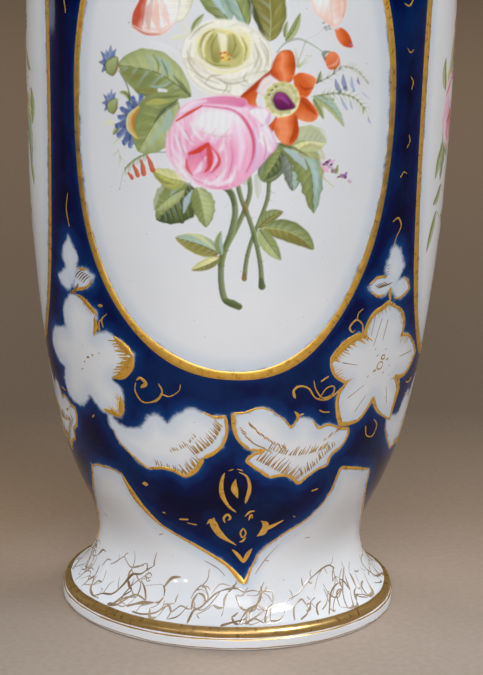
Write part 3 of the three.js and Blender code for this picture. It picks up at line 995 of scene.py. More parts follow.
def gild_swag(gold):
    """The gilt line on the lower edge of the cobalt, thick and thin as the brush was loaded."""
    runs = [(SWAG_FRONT[0:4], [0.4, 0.7, 0.6]),
            (SWAG_FRONT[3:12], [1.4, 2.6, 1.8, 1.0, 0.9, 1.2, 1.4, 1.5, 1.8]),
            (SWAG_FRONT[11:20], [1.8, 0.7, 0.35, 0.6, 1.0, 0.5, 0.3, 1.0, 1.3]),
            (SWAG_FRONT[19:23], [1.4, 1.2, 0.5]),
            (SWAG_SIDE[0:8], [0.5, 1.0, 1.2, 1.5, 1.6, 1.8]),
            (SWAG_SIDE[7:15], [1.8, 0.7, 0.5, 0.9, 1.2])]
    for points, width in runs:
        gold.everywhere(spline(points), width)


VEIN_LOOK = {"height": 0.03, "shake": 0.35}


def on_neck(line, dx, flip=-1):
    """A vein of the foot turned over onto the flare of the neck."""
    return np.stack([dx + flip * line[:, 0], NECK_FLIP_Z - line[:, 1]], -1)


def grow_twigs(path):
    """Short branches that leave a vein at random places, kept on the white of the foot."""
    twigs = []
    for _ in range(int(len(path) * 0.5 / 9)):
        start = HAND.integers(2, len(path) - 2)
        along = path[start + 1] - path[start - 1]
        lean = math.atan2(along[1], along[0]) + HAND.choice((-1, 1)) * HAND.uniform(0.5, 1.2)
        size = HAND.uniform(2.5, 6.5)
        step = np.array([math.cos(lean), math.sin(lean)]) * size
        side = np.array([-step[1], step[0]]) * HAND.uniform(-0.35, 0.35)
        twig = spline([path[start], path[start] + step * 0.5 + side, path[start] + step])
        if twig[:, 1].min() > COVE_Z and twig[:, 1].max() < 30:
            twigs.append(twig)
    return twigs


def marble(veins):
    """Brushed veins on the white foot, and on the flare of the neck."""
    lines = [
        ([(-78, 19), (-74, 20.5), (-70, 22.5), (-67, 23.8), (-64, 22.5), (-60, 21.2), (-55, 22),
          (-51, 23.6)],
         [0.5, 0.7, 0.4], 0.5),
        ([(-76, 8.6), (-72, 10), (-66, 11), (-62, 14.5), (-59.5, 17.5), (-57, 19.2), (-52, 20),
          (-48, 22), (-43, 24.4)], [0.7, 1.0, 1.1, 0.8, 0.5], 1.0),
        ([(-64, 8.4), (-58, 9.2), (-58.6, 12), (-55, 16), (-50, 19), (-46, 21.2), (-44, 20.2)],
         [0.9, 0.6, 0.5], 0.8),
        ([(-57, 19.2), (-59, 21), (-53, 22.8), (-50.6, 23.2)], [0.5, 0.7, 0.4], 0.8),
        ([(-48, 8.6), (-42, 8.6), (-36, 9.6), (-31, 12), (-28, 10.6), (-24, 12.6), (-20, 11.8)],
         [0.4, 0.6, 0.8, 0.5], 0.7),
        ([(-29, 8.4), (-28.4, 10.8), (-31, 12.6), (-33, 12)], [0.9, 0.6, 0.4], 0.6),
        ([(-18.6, 8.2), (-17, 11.5), (-13.6, 12.8), (-9.6, 15.4), (-6, 17.6), (-1, 19), (5, 19.4),
          (9, 18.2), (13, 18.6), (18, 18.2)], [0.9, 0.8, 0.9, 0.8, 0.6, 0.5], 0.9),
        ([(-18, 12.8), (-13, 12), (-9, 13.8), (-4, 18)], [0.4, 0.7, 0.4], 0.7),
        ([(-19.4, 15), (-17.6, 17.6), (-13.6, 20), (-10.6, 17.4), (-10, 14.4)], [0.4, 0.7, 0.5], 0.7),
        ([(-13.6, 20), (-11, 22.4), (-10.4, 26)], [0.7, 0.5, 0.3], 0.6),
        ([(-14, 19.4), (-11, 19.6), (-9, 18.4)], [0.7, 0.5, 0.4], 0.7),
        ([(-13.4, 29), (-9, 27.6), (-5, 26), (-1.4, 23.6)], [0.5, 0.6, 0.3], 0.6),
        ([(-3, 8.2), (2, 9), (9, 10), (12, 12), (16, 14.6), (18.6, 17.6), (18, 20)],
         [0.7, 0.9, 0.6, 0.4], 0.8),
        ([(9, 10), (10.6, 8.6), (14, 8.8), (19, 9.8)], [0.6, 0.5, 0.3], 0.6),
        ([(33, 15), (39, 16), (44, 18.4), (48, 20), (53, 21.4), (58, 22.6), (63, 23), (66, 22.2),
          (68, 21)],
         [0.5, 0.8, 0.6, 0.8], 0.8),
        ([(34, 12), (38, 13.6), (41, 14), (43, 11), (45.6, 12.8), (49, 13.8)], [0.4, 0.7, 0.5], 0.7),
        ([(48, 14.6), (50.6, 17), (54, 20.4), (58, 22.4)], [0.4, 0.6, 0.5], 0.6),
        ([(46, 8.8), (48.4, 11.4), (52, 12.4)], [0.8, 0.8, 0.4], 0.9),
        ([(52, 8.4), (56, 10.6), (59, 13), (63, 15), (68, 16)], [0.7, 0.9, 0.5], 0.9),
        ([(66.6, 22), (66.8, 18), (64, 15), (60, 12.6)], [0.6, 0.6, 0.4], 0.7),
        ([(65, 8.4), (69, 12.8), (73, 16.4), (76.4, 19.6)], [0.5, 0.8, 0.6], 0.6),
        ([(15, 24), (19, 28), (23.6, 32), (28, 35.4)], [0.3, 0.6, 0.3], 0.3),
        ([(36, 8.6), (41, 9.8), (43, 11.2)], [0.4, 0.6, 0.4], 0.6),
        ([(-39, 36.8), (-36, 37.8)], 0.6, 0.4), ([(43, 36.6), (46.6, 36.4)], 0.6, 0.4),
    ]
    for points, width, tone in lines:
        path = spline(points)
        width = np.asarray(width) * 0.8
        sides = SIDES if abs(path[:, 0].mean()) < 40 else ()
        for twig in grow_twigs(path):
            look = dict(VEIN_LOOK, tone=tone * 0.6)
            thin = [0.55, 0.4, 0.2]
            for dx in REPEATS:
                veins.add(twig + (dx, 0), thin, **look)
                veins.add(on_neck(twig, dx), thin, **look)
            for dx in sides:
                veins.add(np.stack([dx - twig[:, 0], twig[:, 1]], -1), thin, **look)
        look = dict(VEIN_LOOK, tone=tone)
        for dx in REPEATS:
            veins.add(path + (dx, 0), width, **look)
            veins.add(on_neck(path, dx), width, **look)
        for dx in sides:
            veins.add(np.stack([dx - path[:, 0], path[:, 1]], -1), width, **look)
            veins.add(on_neck(path, dx, 1), width, **look)


def marble_net(veins):
    """The finer net between the veins: leaning cells, closer toward the gilt edge."""
    columns = 84
    knots = {}
    for row in range(4):
        for column in range(columns):
            z = 9.2 + row * 4.0 + HAND.uniform(-1.5, 1.5)
            x = (column + 0.5 * (row % 2) + HAND.uniform(-0.42, 0.42)) * ROUND / columns
            knots[column, row] = np.array([x + 0.75 * (z - 9), max(z, COVE_Z + 0.2)])
    for (column, row), knot in knots.items():
        for to, chance in (((column + 1, row), 0.30), ((column, row + 1), 0.62),
                           ((column + 1 - 2 * (row % 2), row + 1), 0.34)):
            clump = 0.62 + 0.38 * math.sin(knot[0] * 0.105 + 0.4) - 0.12 * row
            if to not in knots or HAND.uniform() > chance * clump * 1.35:
                continue
            end = knots[to]
            side = np.array([knot[1] - end[1], end[0] - knot[0]]) * HAND.uniform(-0.22, 0.22)
            line = spline([knot, (knot + end) / 2 + side, end])
            width = HAND.uniform(0.25, 0.95) * np.array([0.7, 1.0, 0.5])
            look = {"height": 0.03, "shake": 0.4, "tone": HAND.uniform(0.3, 1.0)}
            veins.add(line, width, **look)
            veins.add(on_neck(line, 0.0), width, **look)


def length_to(profile, z):
    """How far along a profile that rises it reaches a height."""
    return float(np.interp(z, profile[:, 1], run_lengths(profile)))


def ring_wobble(turn):
    """An uneven edge that closes on itself, about one unit either way at most."""
    return sum(np.sin(turn * k + HAND.uniform(0, PHASE)) for k in (3, 8, 13, 29)) / 4


def gilt_band(name, profile, start, end, height=0.09, ragged=0.25, tone=0.5, rows=8):
    """A gilt band round a turned profile of (radius, z) rows, between two lengths along it."""
    profile = np.asarray(profile, float)
    gone = run_lengths(profile)
    turn = np.arange(STEPS_ROUND) * 2 * math.pi / STEPS_ROUND
    low = start + ragged * ring_wobble(turn)
    high = end + ragged * ring_wobble(turn)
    t = np.linspace(0, 1, rows)[:, None]
    along = low + (high - low) * t

    def at(lengths):
        return [np.interp(lengths, gone, profile[:, i]) for i in (0, 1)]

    radius, z = at(along)
    ahead, behind = at(along + 0.3), at(along - 0.3)
    dr, dz = ahead[0] - behind[0], ahead[1] - behind[1]
    size = np.hypot(dr, dz) + 1e-9
    out_r, out_z = dz / size, -dr / size
    rise = height * (1 - (2 * t - 1) ** 6) + 0.03
    outer = (radius + out_r * rise, z + out_z * rise)
    inner = (radius[::-1] - out_r[::-1] * 0.25, z[::-1] - out_z[::-1] * 0.25)
    all_r, all_z = np.concatenate([outer[0], inner[0]]), np.concatenate([outer[1], inner[1]])
    nr, nz = np.concatenate([out_r, -out_r[::-1]]), np.concatenate([out_z, -out_z[::-1]])
    points = np.stack([all_r * np.sin(turn), -all_r * np.cos(turn), all_z], -1) * MM
    normals = np.stack([nr * np.sin(turn), -nr * np.cos(turn), nz], -1)
    count = 2 * rows
    faces = grid_faces(count + 1, STEPS_ROUND, True) % (count * STEPS_ROUND)
    piece = make_mesh(name, points.reshape(-1, 3), faces.ravel(), np.full(len(faces), 4),
                      normals.reshape(-1, 3), values={"tone": np.full(count * STEPS_ROUND, tone)})
    finish_piece(piece, GOLD)


def make_gilding():
    """The gilt lines and the marbling, in the order that the hand draws them."""
    for name, painters, material, slot in (
            ("panel_frames", (gild_frames,), GOLD, "gilding"),
            ("gilt_flower_and_leaf_edges", (gild_flowers, gild_buds, gild_leaves), GOLD, "gilding"),
            ("gilt_ornament", (gild_centre, gild_curls, gild_swag), GOLD, "gilding"),
            ("marbling", (marble, marble_net), VEIN, "enamel")):
        strokes = Strokes()
        for paint in painters:
            paint(strokes)
        strokes.piece(name, material, slot)
    edge = foot_edge_profile()
    for name, low, high, extra, how in (
            ("foot_gilt_edge", 4.7, 7.86, 0.4, {"ragged": 0.22, "tone": 0.7}),
            ("foot_gilt_line", 4.0, 4.35, 0.0, {"height": 0.03, "ragged": 0.2}),
            ("foot_worn_line", 0.9, 1.25, 0.0, {"height": 0.02, "ragged": 0.25})):
        gilt_band(name, edge, length_to(edge, low), length_to(edge, high) + extra, **how)
    gilt_band("rim_gilt", rim_profile(), 0.6, 7.2, ragged=0.4)


make_gilding()


# ---------------------------------------------------------------- enamel painting
PIGMENT = {
    "white": (222, 224, 226), "leaf": (128, 140, 86), "leaf_light": (166, 176, 126),
    "leaf_dark": (76, 90, 48), "olive": (128, 124, 64), "deep": (52, 62, 38),
    "sea": (152, 178, 166), "sky": (174, 194, 203), "lime": (172, 172, 92), "pear": (208, 208, 150),
    "ochre": (196, 148, 48), "brown": (140, 84, 40), "grey": (120, 128, 122),
    "pink": (222, 160, 190), "pink_pale": (234, 212, 226), "pink_deep": (204, 106, 150),
    "rose_red": (198, 62, 62), "red": (198, 54, 28), "lilac": (204, 168, 204),
    "cream": (226, 225, 212), "shade": (190, 188, 164), "cream_green": (184, 180, 112),
    "cream_yellow": (222, 214, 150), "heart": (190, 112, 34),
    "orange": (202, 90, 34), "orange_deep": (164, 54, 12), "orange_light": (224, 136, 90),
    "purple": (108, 26, 90), "purple_light": (146, 62, 136), "ink": (58, 44, 48),
    "blue": (76, 100, 156), "blue_deep": (44, 62, 120), "blue_pale": (136, 152, 190),
    "blush": (236, 188, 174), "shell": (250, 238, 230), "brick": (186, 84, 62),
    "stem": (98, 112, 70), "stem_dark": (62, 76, 40), "stem_light": (144, 154, 112),
    "gold_yellow": (224, 184, 70), "violet": (120, 84, 160),
}
WHITE_SEEN = 214.0                        # the body's white on the same scale of 0 to 255
WHITE_REFLECTS = 0.79


def linear(value):
    """Linear light of a display value from 0 to 255."""
    value = value / 255
    return np.where(value > 0.04045, ((value + 0.055) / 1.055) ** 2.4, value / 12.92)


def pigment(tone):
    """Linear reflectance of a pigment, from how it looks beside the body's white."""
    seen = np.asarray(PIGMENT[tone] if isinstance(tone, str) else tone, float)
    return np.clip(linear(seen) / linear(np.float64(WHITE_SEEN)) * WHITE_REFLECTS, 0, 0.9)


class Canvas:
    """Painting on a patch of the wall: colour and cover on a fine grid."""

    CELL = 0.3

    def __init__(self, low_x, high_x, low_z, high_z, seed):
        self.x = np.arange(low_x, high_x, self.CELL)
        self.z = np.arange(low_z, high_z, self.CELL)
        self.colour = np.tile(pigment("white"), (len(self.z), len(self.x), 1))
        self.cover = np.zeros((len(self.z), len(self.x)))
        self.random = np.random.default_rng(seed)
        self.put()

    def put(self, about=(0, 0), to=(0, 0), turn=0.0, size=1.0, mirror=False):
        """Where what is painted next goes: moved, turned by degrees, resized or mirrored."""
        c, s = math.cos(math.radians(turn)) * size, math.sin(math.radians(turn)) * size
        flip = -1 if mirror else 1
        self.matrix = np.array([[c * flip, -s], [s * flip, c]])
        self.about, self.to = np.array(about, float), np.array(to, float)
        self.size, self.flip = size, flip

    def here(self, points):
        """The points where put() has moved them to."""
        flat = np.array([q[:2] for q in points], float)
        moved = (flat - self.about) @ self.matrix.T + self.to
        return [tuple(m) + tuple(q[2:]) for m, q in zip(moved, points)]

    def window(self, line, margin):
        """The rows, columns and grid points round a line."""
        low, high = line.min(0) - margin, line.max(0) + margin
        cols = slice(*np.searchsorted(self.x, (low[0], high[0])))
        rows = slice(*np.searchsorted(self.z, (low[1], high[1])))
        gx, gz = np.meshgrid(self.x[cols], self.z[rows])
        return rows, cols, gx, gz

    def lay(self, rows, cols, colour, alpha):
        """Lays colour over what is there."""
        a = np.clip(alpha, 0, 1)
        self.colour[rows, cols] = self.colour[rows, cols] * (1 - a[..., None]) + colour * a[..., None]
        self.cover[rows, cols] += (1 - self.cover[rows, cols]) * a

    def along(self, line, gx, gz):
        """For each grid point: how far along the line (0 to 1), sideways offset and distance."""
        a, b = line[:-1], line[1:]
        d = b - a
        qx, qz = gx[..., None] - a[:, 0], gz[..., None] - a[:, 1]
        t = np.clip((qx * d[:, 0] + qz * d[:, 1]) / (d ** 2).sum(1), 0, 1)
        ex, ez = qx - t * d[:, 0], qz - t * d[:, 1]
        square = ex * ex + ez * ez
        k = square.argmin(-1)[..., None]

        def pick(values):
            return np.take_along_axis(values, k, -1)[..., 0]

        side = pick(d[:, 0] * qz - d[:, 1] * qx) / np.linalg.norm(d[k[..., 0]], axis=-1)
        return (k[..., 0] + pick(t)) / len(d), side * self.flip, np.sqrt(pick(square))

    def hairs(self, s, v, strength):
        """The marks a brush leaves along a stroke."""
        p = self.random.uniform(0, PHASE, 4)
        marks = (0.5 * np.sin(v * 8 + p[0] + s * 1.5) + 0.35 * np.sin(v * 19 + p[1] - s * 2)
                 + 0.3 * np.sin(v * 37 + p[2] + s * 3) * np.sin(s * 9 + p[3]))
        return 1 + strength * marks

    def dab(self, points, width, tones, alpha=1.0, soft=0.55, streak=0.10):
        """A stroke along points; width varies along it and tones run from its left to its right."""
        line = spline(self.here(points), 0.5)
        widths = np.ravel(width) * self.size / 2
        rows, cols, gx, gz = self.window(line, widths.max() + 1)
        if gx.size == 0:
            return
        s, side, distance = self.along(line, gx, gz)
        half = np.interp(s, np.linspace(0, 1, len(widths)), widths)
        v = np.clip(side / np.maximum(half, 0.2), -1, 1)
        tones = [tones] if isinstance(tones, (str, tuple)) else tones
        stops = np.array([pigment(tone) for tone in tones])
        spread = np.linspace(1, -1, len(stops))[::-1]
        colour = np.stack([np.interp(v, spread, stops[::-1, i]) for i in range(3)], -1)
        colour = colour * self.hairs(s, v, streak)[..., None]
        amount = np.interp(s, np.linspace(0, 1, np.size(alpha)), np.ravel(alpha))
        self.lay(rows, cols, colour, np.clip((half - distance) / soft + 0.5, 0, 1) * amount)

    def leaf(self, points, half_left, half_right, tones, rib="leaf_dark", veins=7, serrate=0.05,
             alpha=1.0, fullness=0.8):
        """A leaf from its stalk to its tip; tones are left side, right side and edge."""
        line = spline(self.here(points), 0.5)
        reach = max(half_left, half_right) * self.size
        rows, cols, gx, gz = self.window(line, reach + 1)
        if gx.size == 0:
            return
        s, side, distance = self.along(line, gx, gz)
        shape = np.sin(math.pi * np.clip(s, 0.001, 0.999) ** fullness) ** 0.66
        teeth = 1 + serrate * (0.8 * np.sin(s * veins * 4.1) + 0.35 * np.sin(s * veins * 7.7 + 1))
        half = np.where(side > 0, half_left, half_right) * self.size * shape * teeth
        v = np.clip(side / np.maximum(half, 0.15), -1, 1)
        out = np.abs(v)
        left, right, edge = (pigment(tone) for tone in tones)
        both = np.where((side > 0)[..., None], left, right)
        phase = self.random.uniform(0, PHASE, 4)
        patch = (np.sin(s * 7 + v * 2.2 + phase[0]) + np.sin(s * 3.1 - v * 4.3 + phase[1])) * 0.5
        bend = (s * veins - out * 1.2 + 0.16 * np.sin(s * 11 + phase[2]) + phase[3]) % 1
        ridge = np.exp(-((bend - 0.5) / 0.13) ** 2) * np.clip(1.15 - out, 0, 1)
        lit = both * (1 + 0.05 * np.sin(bend * PHASE) + 0.10 * patch)[..., None]
        lit = lit * self.hairs(s + out * 0.3, v, 0.06)[..., None]
        toward_edge = np.clip(out * 1.3 - 0.55, 0, 1)[..., None] ** 1.4
        tip = np.clip(s * 1.4 - 0.75, 0, 1)[..., None] ** 1.5
        colour = lit + (edge - lit) * np.clip(toward_edge * 0.8 + tip * 0.5, 0, 1)
        sheen = np.exp(-((bend - 0.15) / 0.14) ** 2) * np.clip(1.3 - 1.6 * out, 0, 1) * (side > 0)
        colour = colour + (pigment("sky") - colour) * (0.30 * sheen * (patch < 0.25))[..., None]
        colour = colour + (pigment("pear") - colour) * (0.20 * ridge * (patch > -0.3))[..., None]
        ribbed = np.clip(1 - np.abs(side) / (0.42 * self.size * (1.15 - s)), 0, 1)[..., None] * 0.75
        colour = colour + (pigment(rib) - colour) * ribbed
        inside = np.where(half > 0.2, half - np.maximum(np.abs(side), distance), -1)
        self.lay(rows, cols, colour, np.clip(inside / 0.8 + 0.5, 0, 1) * alpha)

    def blob(self, ring, tones, lean=(0, 1), rim=None, rim_width=1.2, alpha=1.0, soft=0.7,
             streak=0.05):
        """A filled petal: tones run along lean, and rim colours its edge."""
        marked = [ring[0][:2] + (CORNER,)] + list(ring[1:])
        edge = outline(self.here(marked), 0.6)
        rows, cols, gx, gz = self.window(edge, 1.5)
        if gx.size == 0:
            return
        inside = -ring_distance(gx, gz, edge)
        direction = self.matrix @ np.array(lean, float)
        direction /= np.linalg.norm(direction)
        span = edge @ direction
        t = (gx * direction[0] + gz * direction[1] - span.min()) / (np.ptp(span) + 1e-6)
        across = (gx * -direction[1] + gz * direction[0]) / (3.0 * self.size)
        stops = np.array([pigment(tone) for tone in tones])
        spread = np.linspace(0, 1, len(stops))
        wander = t + 0.05 * np.sin(across * 3 + self.random.uniform(0, 6))
        colour = np.stack([np.interp(wander, spread, stops[:, i]) for i in range(3)], -1)
        colour = colour * self.hairs(t, across, streak)[..., None]
        if rim is not None:
            near = np.clip(1 - inside / (rim_width * self.size), 0, 1)[..., None] ** 1.3
            colour = colour + (pigment(rim) - colour) * near
        self.lay(rows, cols, colour, np.clip(inside / soft + 0.5, 0, 1) * alpha)

    def spots(self, places, size, tone, alpha=1.0):
        """Small round touches."""
        for x, z in places:
            self.dab([(x - 0.2, z), (x + 0.2, z + 0.1)], size, tone, alpha=alpha, soft=0.4)

    def piece(self, name):
        """The painted cells as a thin raised skin on the wall."""
        cover = self.cover
        shown = cover > 0.015
        cells = shown[:-1, :-1] | shown[1:, :-1] | shown[:-1, 1:] | shown[1:, 1:]
        used = np.zeros(cover.shape, bool)
        for r in (slice(None, -1), slice(1, None)):
            for c in (slice(None, -1), slice(1, None)):
                used[r, c] |= cells
        index = np.full(cover.shape, -1)
        index[used] = np.arange(used.sum())
        row, col = np.nonzero(cells)
        quads = np.stack([index[row, col], index[row, col + 1], index[row + 1, col + 1],
                          index[row + 1, col]], -1)
        smooth = cover.copy()
        for axis in (0, 1, 0, 1):
            smooth = (np.roll(smooth, 1, axis) + 2 * smooth + np.roll(smooth, -1, axis)) / 4
        light = self.colour.sum(-1)
        relief = 0.035 * smooth + 0.016 * light * smooth
        slope_z, slope_x = np.gradient(relief, self.CELL)
        gx, gz = np.meshgrid(self.x, self.z)
        lift = np.where(shown, 0.03, -0.03) + relief
        px, pz = gx[used], gz[used]
        normal = wall_normal(px, pz)
        east = np.stack([np.cos(px / TURN), np.sin(px / TURN), 0 * px], -1)
        north = np.cross(normal, east)
        normal = normal - slope_x[used][:, None] * east - slope_z[used][:, None] * north
        normal /= np.linalg.norm(normal, axis=-1, keepdims=True)
        piece = make_mesh(name, on_wall(px, pz, lift[used]), quads.ravel(), np.full(len(quads), 4),
                          normal, colours={"paint": self.colour[used]},
                          values={"cover": cover[used]})
        finish_piece(piece, PAINT)


# Each flower is painted about the point named in its PLACE entry.
PLACE = {"pink_rose": (-6, 184), "cream_rose": (-5, 213), "anemone": (14, 199.5),
         "tulip": (-28, 230), "cornflower": (-36, 189), "blue_bud": (-45.5, 207.5),
         "fuchsia": (31, 224)}


def pink_rose(c, pale="pink_pale", mid="pink", deep="pink_deep", accent="red", bloom="lilac"):
    """The large full rose, from the outer petals to the heart."""
    # The whole head, then the petals from the outside in.
    c.blob([(-24.4, 185), (-24.4, 180), (-21.6, 175.6), (-16.6, 172), (-11, 169.4), (-5, 168.8),
            (0.6, 170.4), (4.6, 174), (8, 177.6), (10.6, 180.8), (13, 183.6), (12, 187), (9.6, 190.4),
            (10.6, 193.6), (8.6, 196.4), (4, 197.6), (-1, 200), (-8, 200.2), (-14, 199), (-18.6, 197),
            (-20.6, 193.6), (-22.4, 190)], [mid, mid, pale], (0.1, 1), mid, 1.4)
    for x, z, w in ((-24, 184.6, 1.1), (-22.4, 186, 1.3), (-20.6, 187.4, 1.2), (-18.6, 188.4, 1.4)):
        c.dab([(x, z + 3), (x + 0.6, z - 5), (x + 5, z - 12), (x + 11, z - 15.6)],
              [0.3, w, w * 1.3, 0.3],
              pale, 0.65, 1.2)
        c.dab([(x + 0.9, z), (x + 2, z - 7), (x + 7, z - 13)], [0.3, w * 0.55, 0.3], deep, 0.4, 0.9)
    c.blob([(-15.6, 190.6), (-12, 195), (-6, 196), (-0.6, 194.6), (2.2, 191), (0.6, 188.4), (-5, 187.2),
            (-11, 187.6)], ["white", "white"], soft=2.6, alpha=0.95)
    c.dab([(-12.6, 188.2), (-6, 186.9), (0.6, 188.2)], [0.3, 0.55, 0.3], (186, 170, 146), 0.6)
    for i in range(8):
        x = -18 + i * 2.1
        c.dab([(x, 183.4 + 0.3 * i), (x + 0.6, 186.6), (x + 2.2, 189.6)], [0.3, 0.8, 0.3],
              pale if i % 2 else mid, 0.6, 0.8)
    c.blob([(-2.4, 193), (2.2, 190.6), (4.6, 185), (4.8, 179), (2, 174), (-1.4, 171.4), (-3, 178),
            (-2.8, 186)], [mid, (226, 168, 196), pale], (-0.1, 1), soft=1.6, alpha=0.92)
    c.dab([(-0.2, 190.6), (1.4, 184), (0.4, 176)], [0.5, 2.0, 0.5], pale, 0.7, 1.2)
    c.dab([(2.6, 188), (3.2, 182.6), (1.6, 176)], [0.3, 0.9, 0.3], mid, 0.7, 0.9)
    c.dab([(-2.2, 187.6), (-1.2, 180.6), (-2.4, 174.4)], [0.3, 0.7, 0.3], deep, 0.4, 0.8)
    c.blob([(5, 195), (8.6, 192.4), (12.4, 187), (12.8, 183.8), (10, 181), (7.6, 178), (5, 174.8),
            (5.8, 182), (5.2, 189)], [bloom, pale], (0.4, 1), bloom, 1.2, soft=1.0)
    c.dab([(11, 182.4), (8.6, 185.6), (5.8, 190.4)], [1.0, 2.8, 0.8], "white", 0.9, 1.1)
    c.dab([(6, 177.4), (7.8, 181), (7.2, 185)], [0.4, 1.4, 0.4], mid, 0.6, 1.0)
    c.blob([(2.6, 195.6), (5.4, 193), (8.4, 190.8), (10.8, 193.4), (9.4, 196.6), (5.8, 197.4)],
           [pale, "white"], (-0.4, 1), mid, 0.8)
    c.dab([(10.4, 195), (9.4, 192), (7.4, 190.8)], [0.8, 1.7, 0.6], bloom, 0.8)
    c.dab([(3, 194.6), (5.8, 190.8), (7, 186.6)], [0.4, 1.4, 0.5], mid, 0.8)
    c.blob([(-21, 193.4), (-17, 197.4), (-11, 199.9), (-3, 200.8), (2.4, 199.4), (1.4, 196.8),
            (-5, 197.4), (-12, 197.2), (-16.8, 194.6)], [pale, (214, 134, 172), (206, 118, 160)],
            (1, 0.2),
           mid, 0.7, soft=0.9)
    c.dab([(-19.6, 194.8), (-15.4, 197.6), (-11, 198.8)], [0.6, 1.8, 0.5], pale, 0.8, 1.0)
    c.dab([(-1, 198.6), (4, 197.2), (7.4, 196.8)], [0.6, 1.4, 0.5], deep, 0.45, 1.0)
    c.dab([(-20.9, 191.4), (-16.6, 194.3), (-12.2, 197)], [0.5, 1.15, 0.6], accent, 0.9, 0.4)
    c.dab([(-12.4, 197), (-7, 196.7), (-2, 195.9), (2, 192.8), (5, 186.8), (5.2, 180.6), (3, 175)],
          [0.5, 0.8, 0.9, 1.3, 1.3, 1.0, 0.4], deep, 0.9, 0.5)
    c.dab([(1, 193.8), (4, 189.4), (5.2, 184.4), (4.8, 179.6)], [0.3, 0.6, 0.6, 0.3], "rose_red", 0.7,
          0.4)
    c.dab([(-20, 177), (-15.6, 172.6), (-9, 170.6), (-2.4, 172.2)], [0.5, 1.8, 1.8, 0.5], pale, 0.8,
          1.2)
    c.dab([(-18.8, 175.8), (-13, 171.2), (-6, 169.6), (-1, 170.8)], [0.4, 0.8, 0.8, 0.3], deep, 0.5,
          0.8)
    for i in range(6):
        x = -13 + i * 2.1
        c.dab([(x, 170.2), (x + 0.5, 172.4), (x + 0.2, 174.4)], [0.3, 0.8, 0.3],
              "white" if i % 2 else mid, 0.55, 0.8)
    for line, tone in (([(-21.6, 187), (-19, 182.6), (-15.4, 179)], "white"),
                       ([(-20.6, 190.6), (-17.4, 186.6), (-13.4, 183.2)], "white"),
                       ([(-22.6, 183), (-19.6, 178.6), (-16.4, 175.6)], pale),
                       ([(-16, 191.4), (-14.4, 188), (-11, 184.8)], "white"),
                       ([(-4.6, 186.4), (-5.4, 183), (-8, 180.4)], "white"),
                       ([(-9, 187.4), (-8.6, 185.6), (-9.2, 183.8)], pale),
                       ([(-3.6, 176.6), (-5.6, 172.8), (-9.6, 170.6)], "white"),
                       ([(-22.2, 178.8), (-19, 174.4), (-14.6, 171.6)], "white"),
                       ([(7.6, 193.6), (9.6, 189.6), (11.4, 185.6)], "white"),
                       ([(-6.4, 170.2), (-2, 172.6), (-0.4, 177)], "white")):
        c.dab(line, [0.4, 1.5, 0.4], tone, 0.7, 0.9)
    for line in ([(-20.2, 185.6), (-18.2, 181.2), (-16.6, 179)],
                 [(-17.8, 188.4), (-15.6, 185), (-13.4, 184)],
                 [(-18.6, 176.4), (-15.6, 172.6), (-11.6, 170.9)],
                 [(-4.2, 181.4), (-4.4, 177), (-7, 173)],
                 [(8.8, 179.6), (9.4, 183.4), (8.4, 187.4)], [(-2.4, 185.6), (-1.8, 179), (-3.2, 173)]):
        c.dab(line, [0.25, 0.75, 0.25], deep, 0.65, 0.5)
    # The heart.
    c.blob([(-17.6, 181), (-14, 184.2), (-9.8, 185.4), (-6, 181.6), (-5.6, 177), (-8.6, 173.4),
            (-12.6, 172.4), (-16.8, 175)], [mid, (210, 108, 148), (222, 146, 178)], (0.2, 1), mid, 1.2,
           soft=1.2)
    c.blob([(-16, 180), (-13, 182.4), (-11, 181), (-12.2, 176.4), (-15, 174.4), (-16.6, 177)],
           [(226, 150, 178), (210, 112, 148)], (0.3, 1), soft=0.9)
    c.dab([(-14.8, 173.8), (-12.4, 176.2), (-10.8, 179.6)], [0.5, 1.9, 0.6], pale, 0.85, 0.9)
    c.dab([(-12.6, 181.4), (-11.4, 178.4), (-11.6, 176)], [0.4, 1.2, 0.4], deep, 0.6, 0.8)
    c.dab([(-8, 182.4), (-7.2, 179), (-8.8, 175.6)], [0.4, 1.1, 0.4], pale, 0.75, 0.8)
    c.dab([(-16.2, 180.7), (-13.4, 181.8), (-10.1, 184.2)], [0.9, 1.9, 1.2], accent, 0.95, 0.45)
    c.dab([(-10, 184), (-9.3, 180), (-9.5, 176.6), (-11, 174.6)], [1.1, 2.1, 1.7, 0.5],
          [accent, "rose_red"], 0.9, 0.5)
    c.dab([(-17.2, 178.6), (-17, 175.8), (-15.2, 173.4)], [0.6, 1.3, 0.5], accent, 0.75, 0.5)
    c.dab([(-9.3, 183.8), (-6.5, 180.3), (-6.2, 177.8), (-8.6, 174.6)], [0.5, 0.7, 1.1, 0.4], accent,
          0.75,
          0.45)
    c.dab([(-19.2, 182), (-19, 176.6), (-14.8, 171.8)], [0.3, 1.0, 0.4], "white", 0.6, 0.9)
    c.dab([(-4.6, 184), (-3.9, 178.6), (-6, 173.6)], [0.3, 1.1, 0.4], "white", 0.5, 0.9)


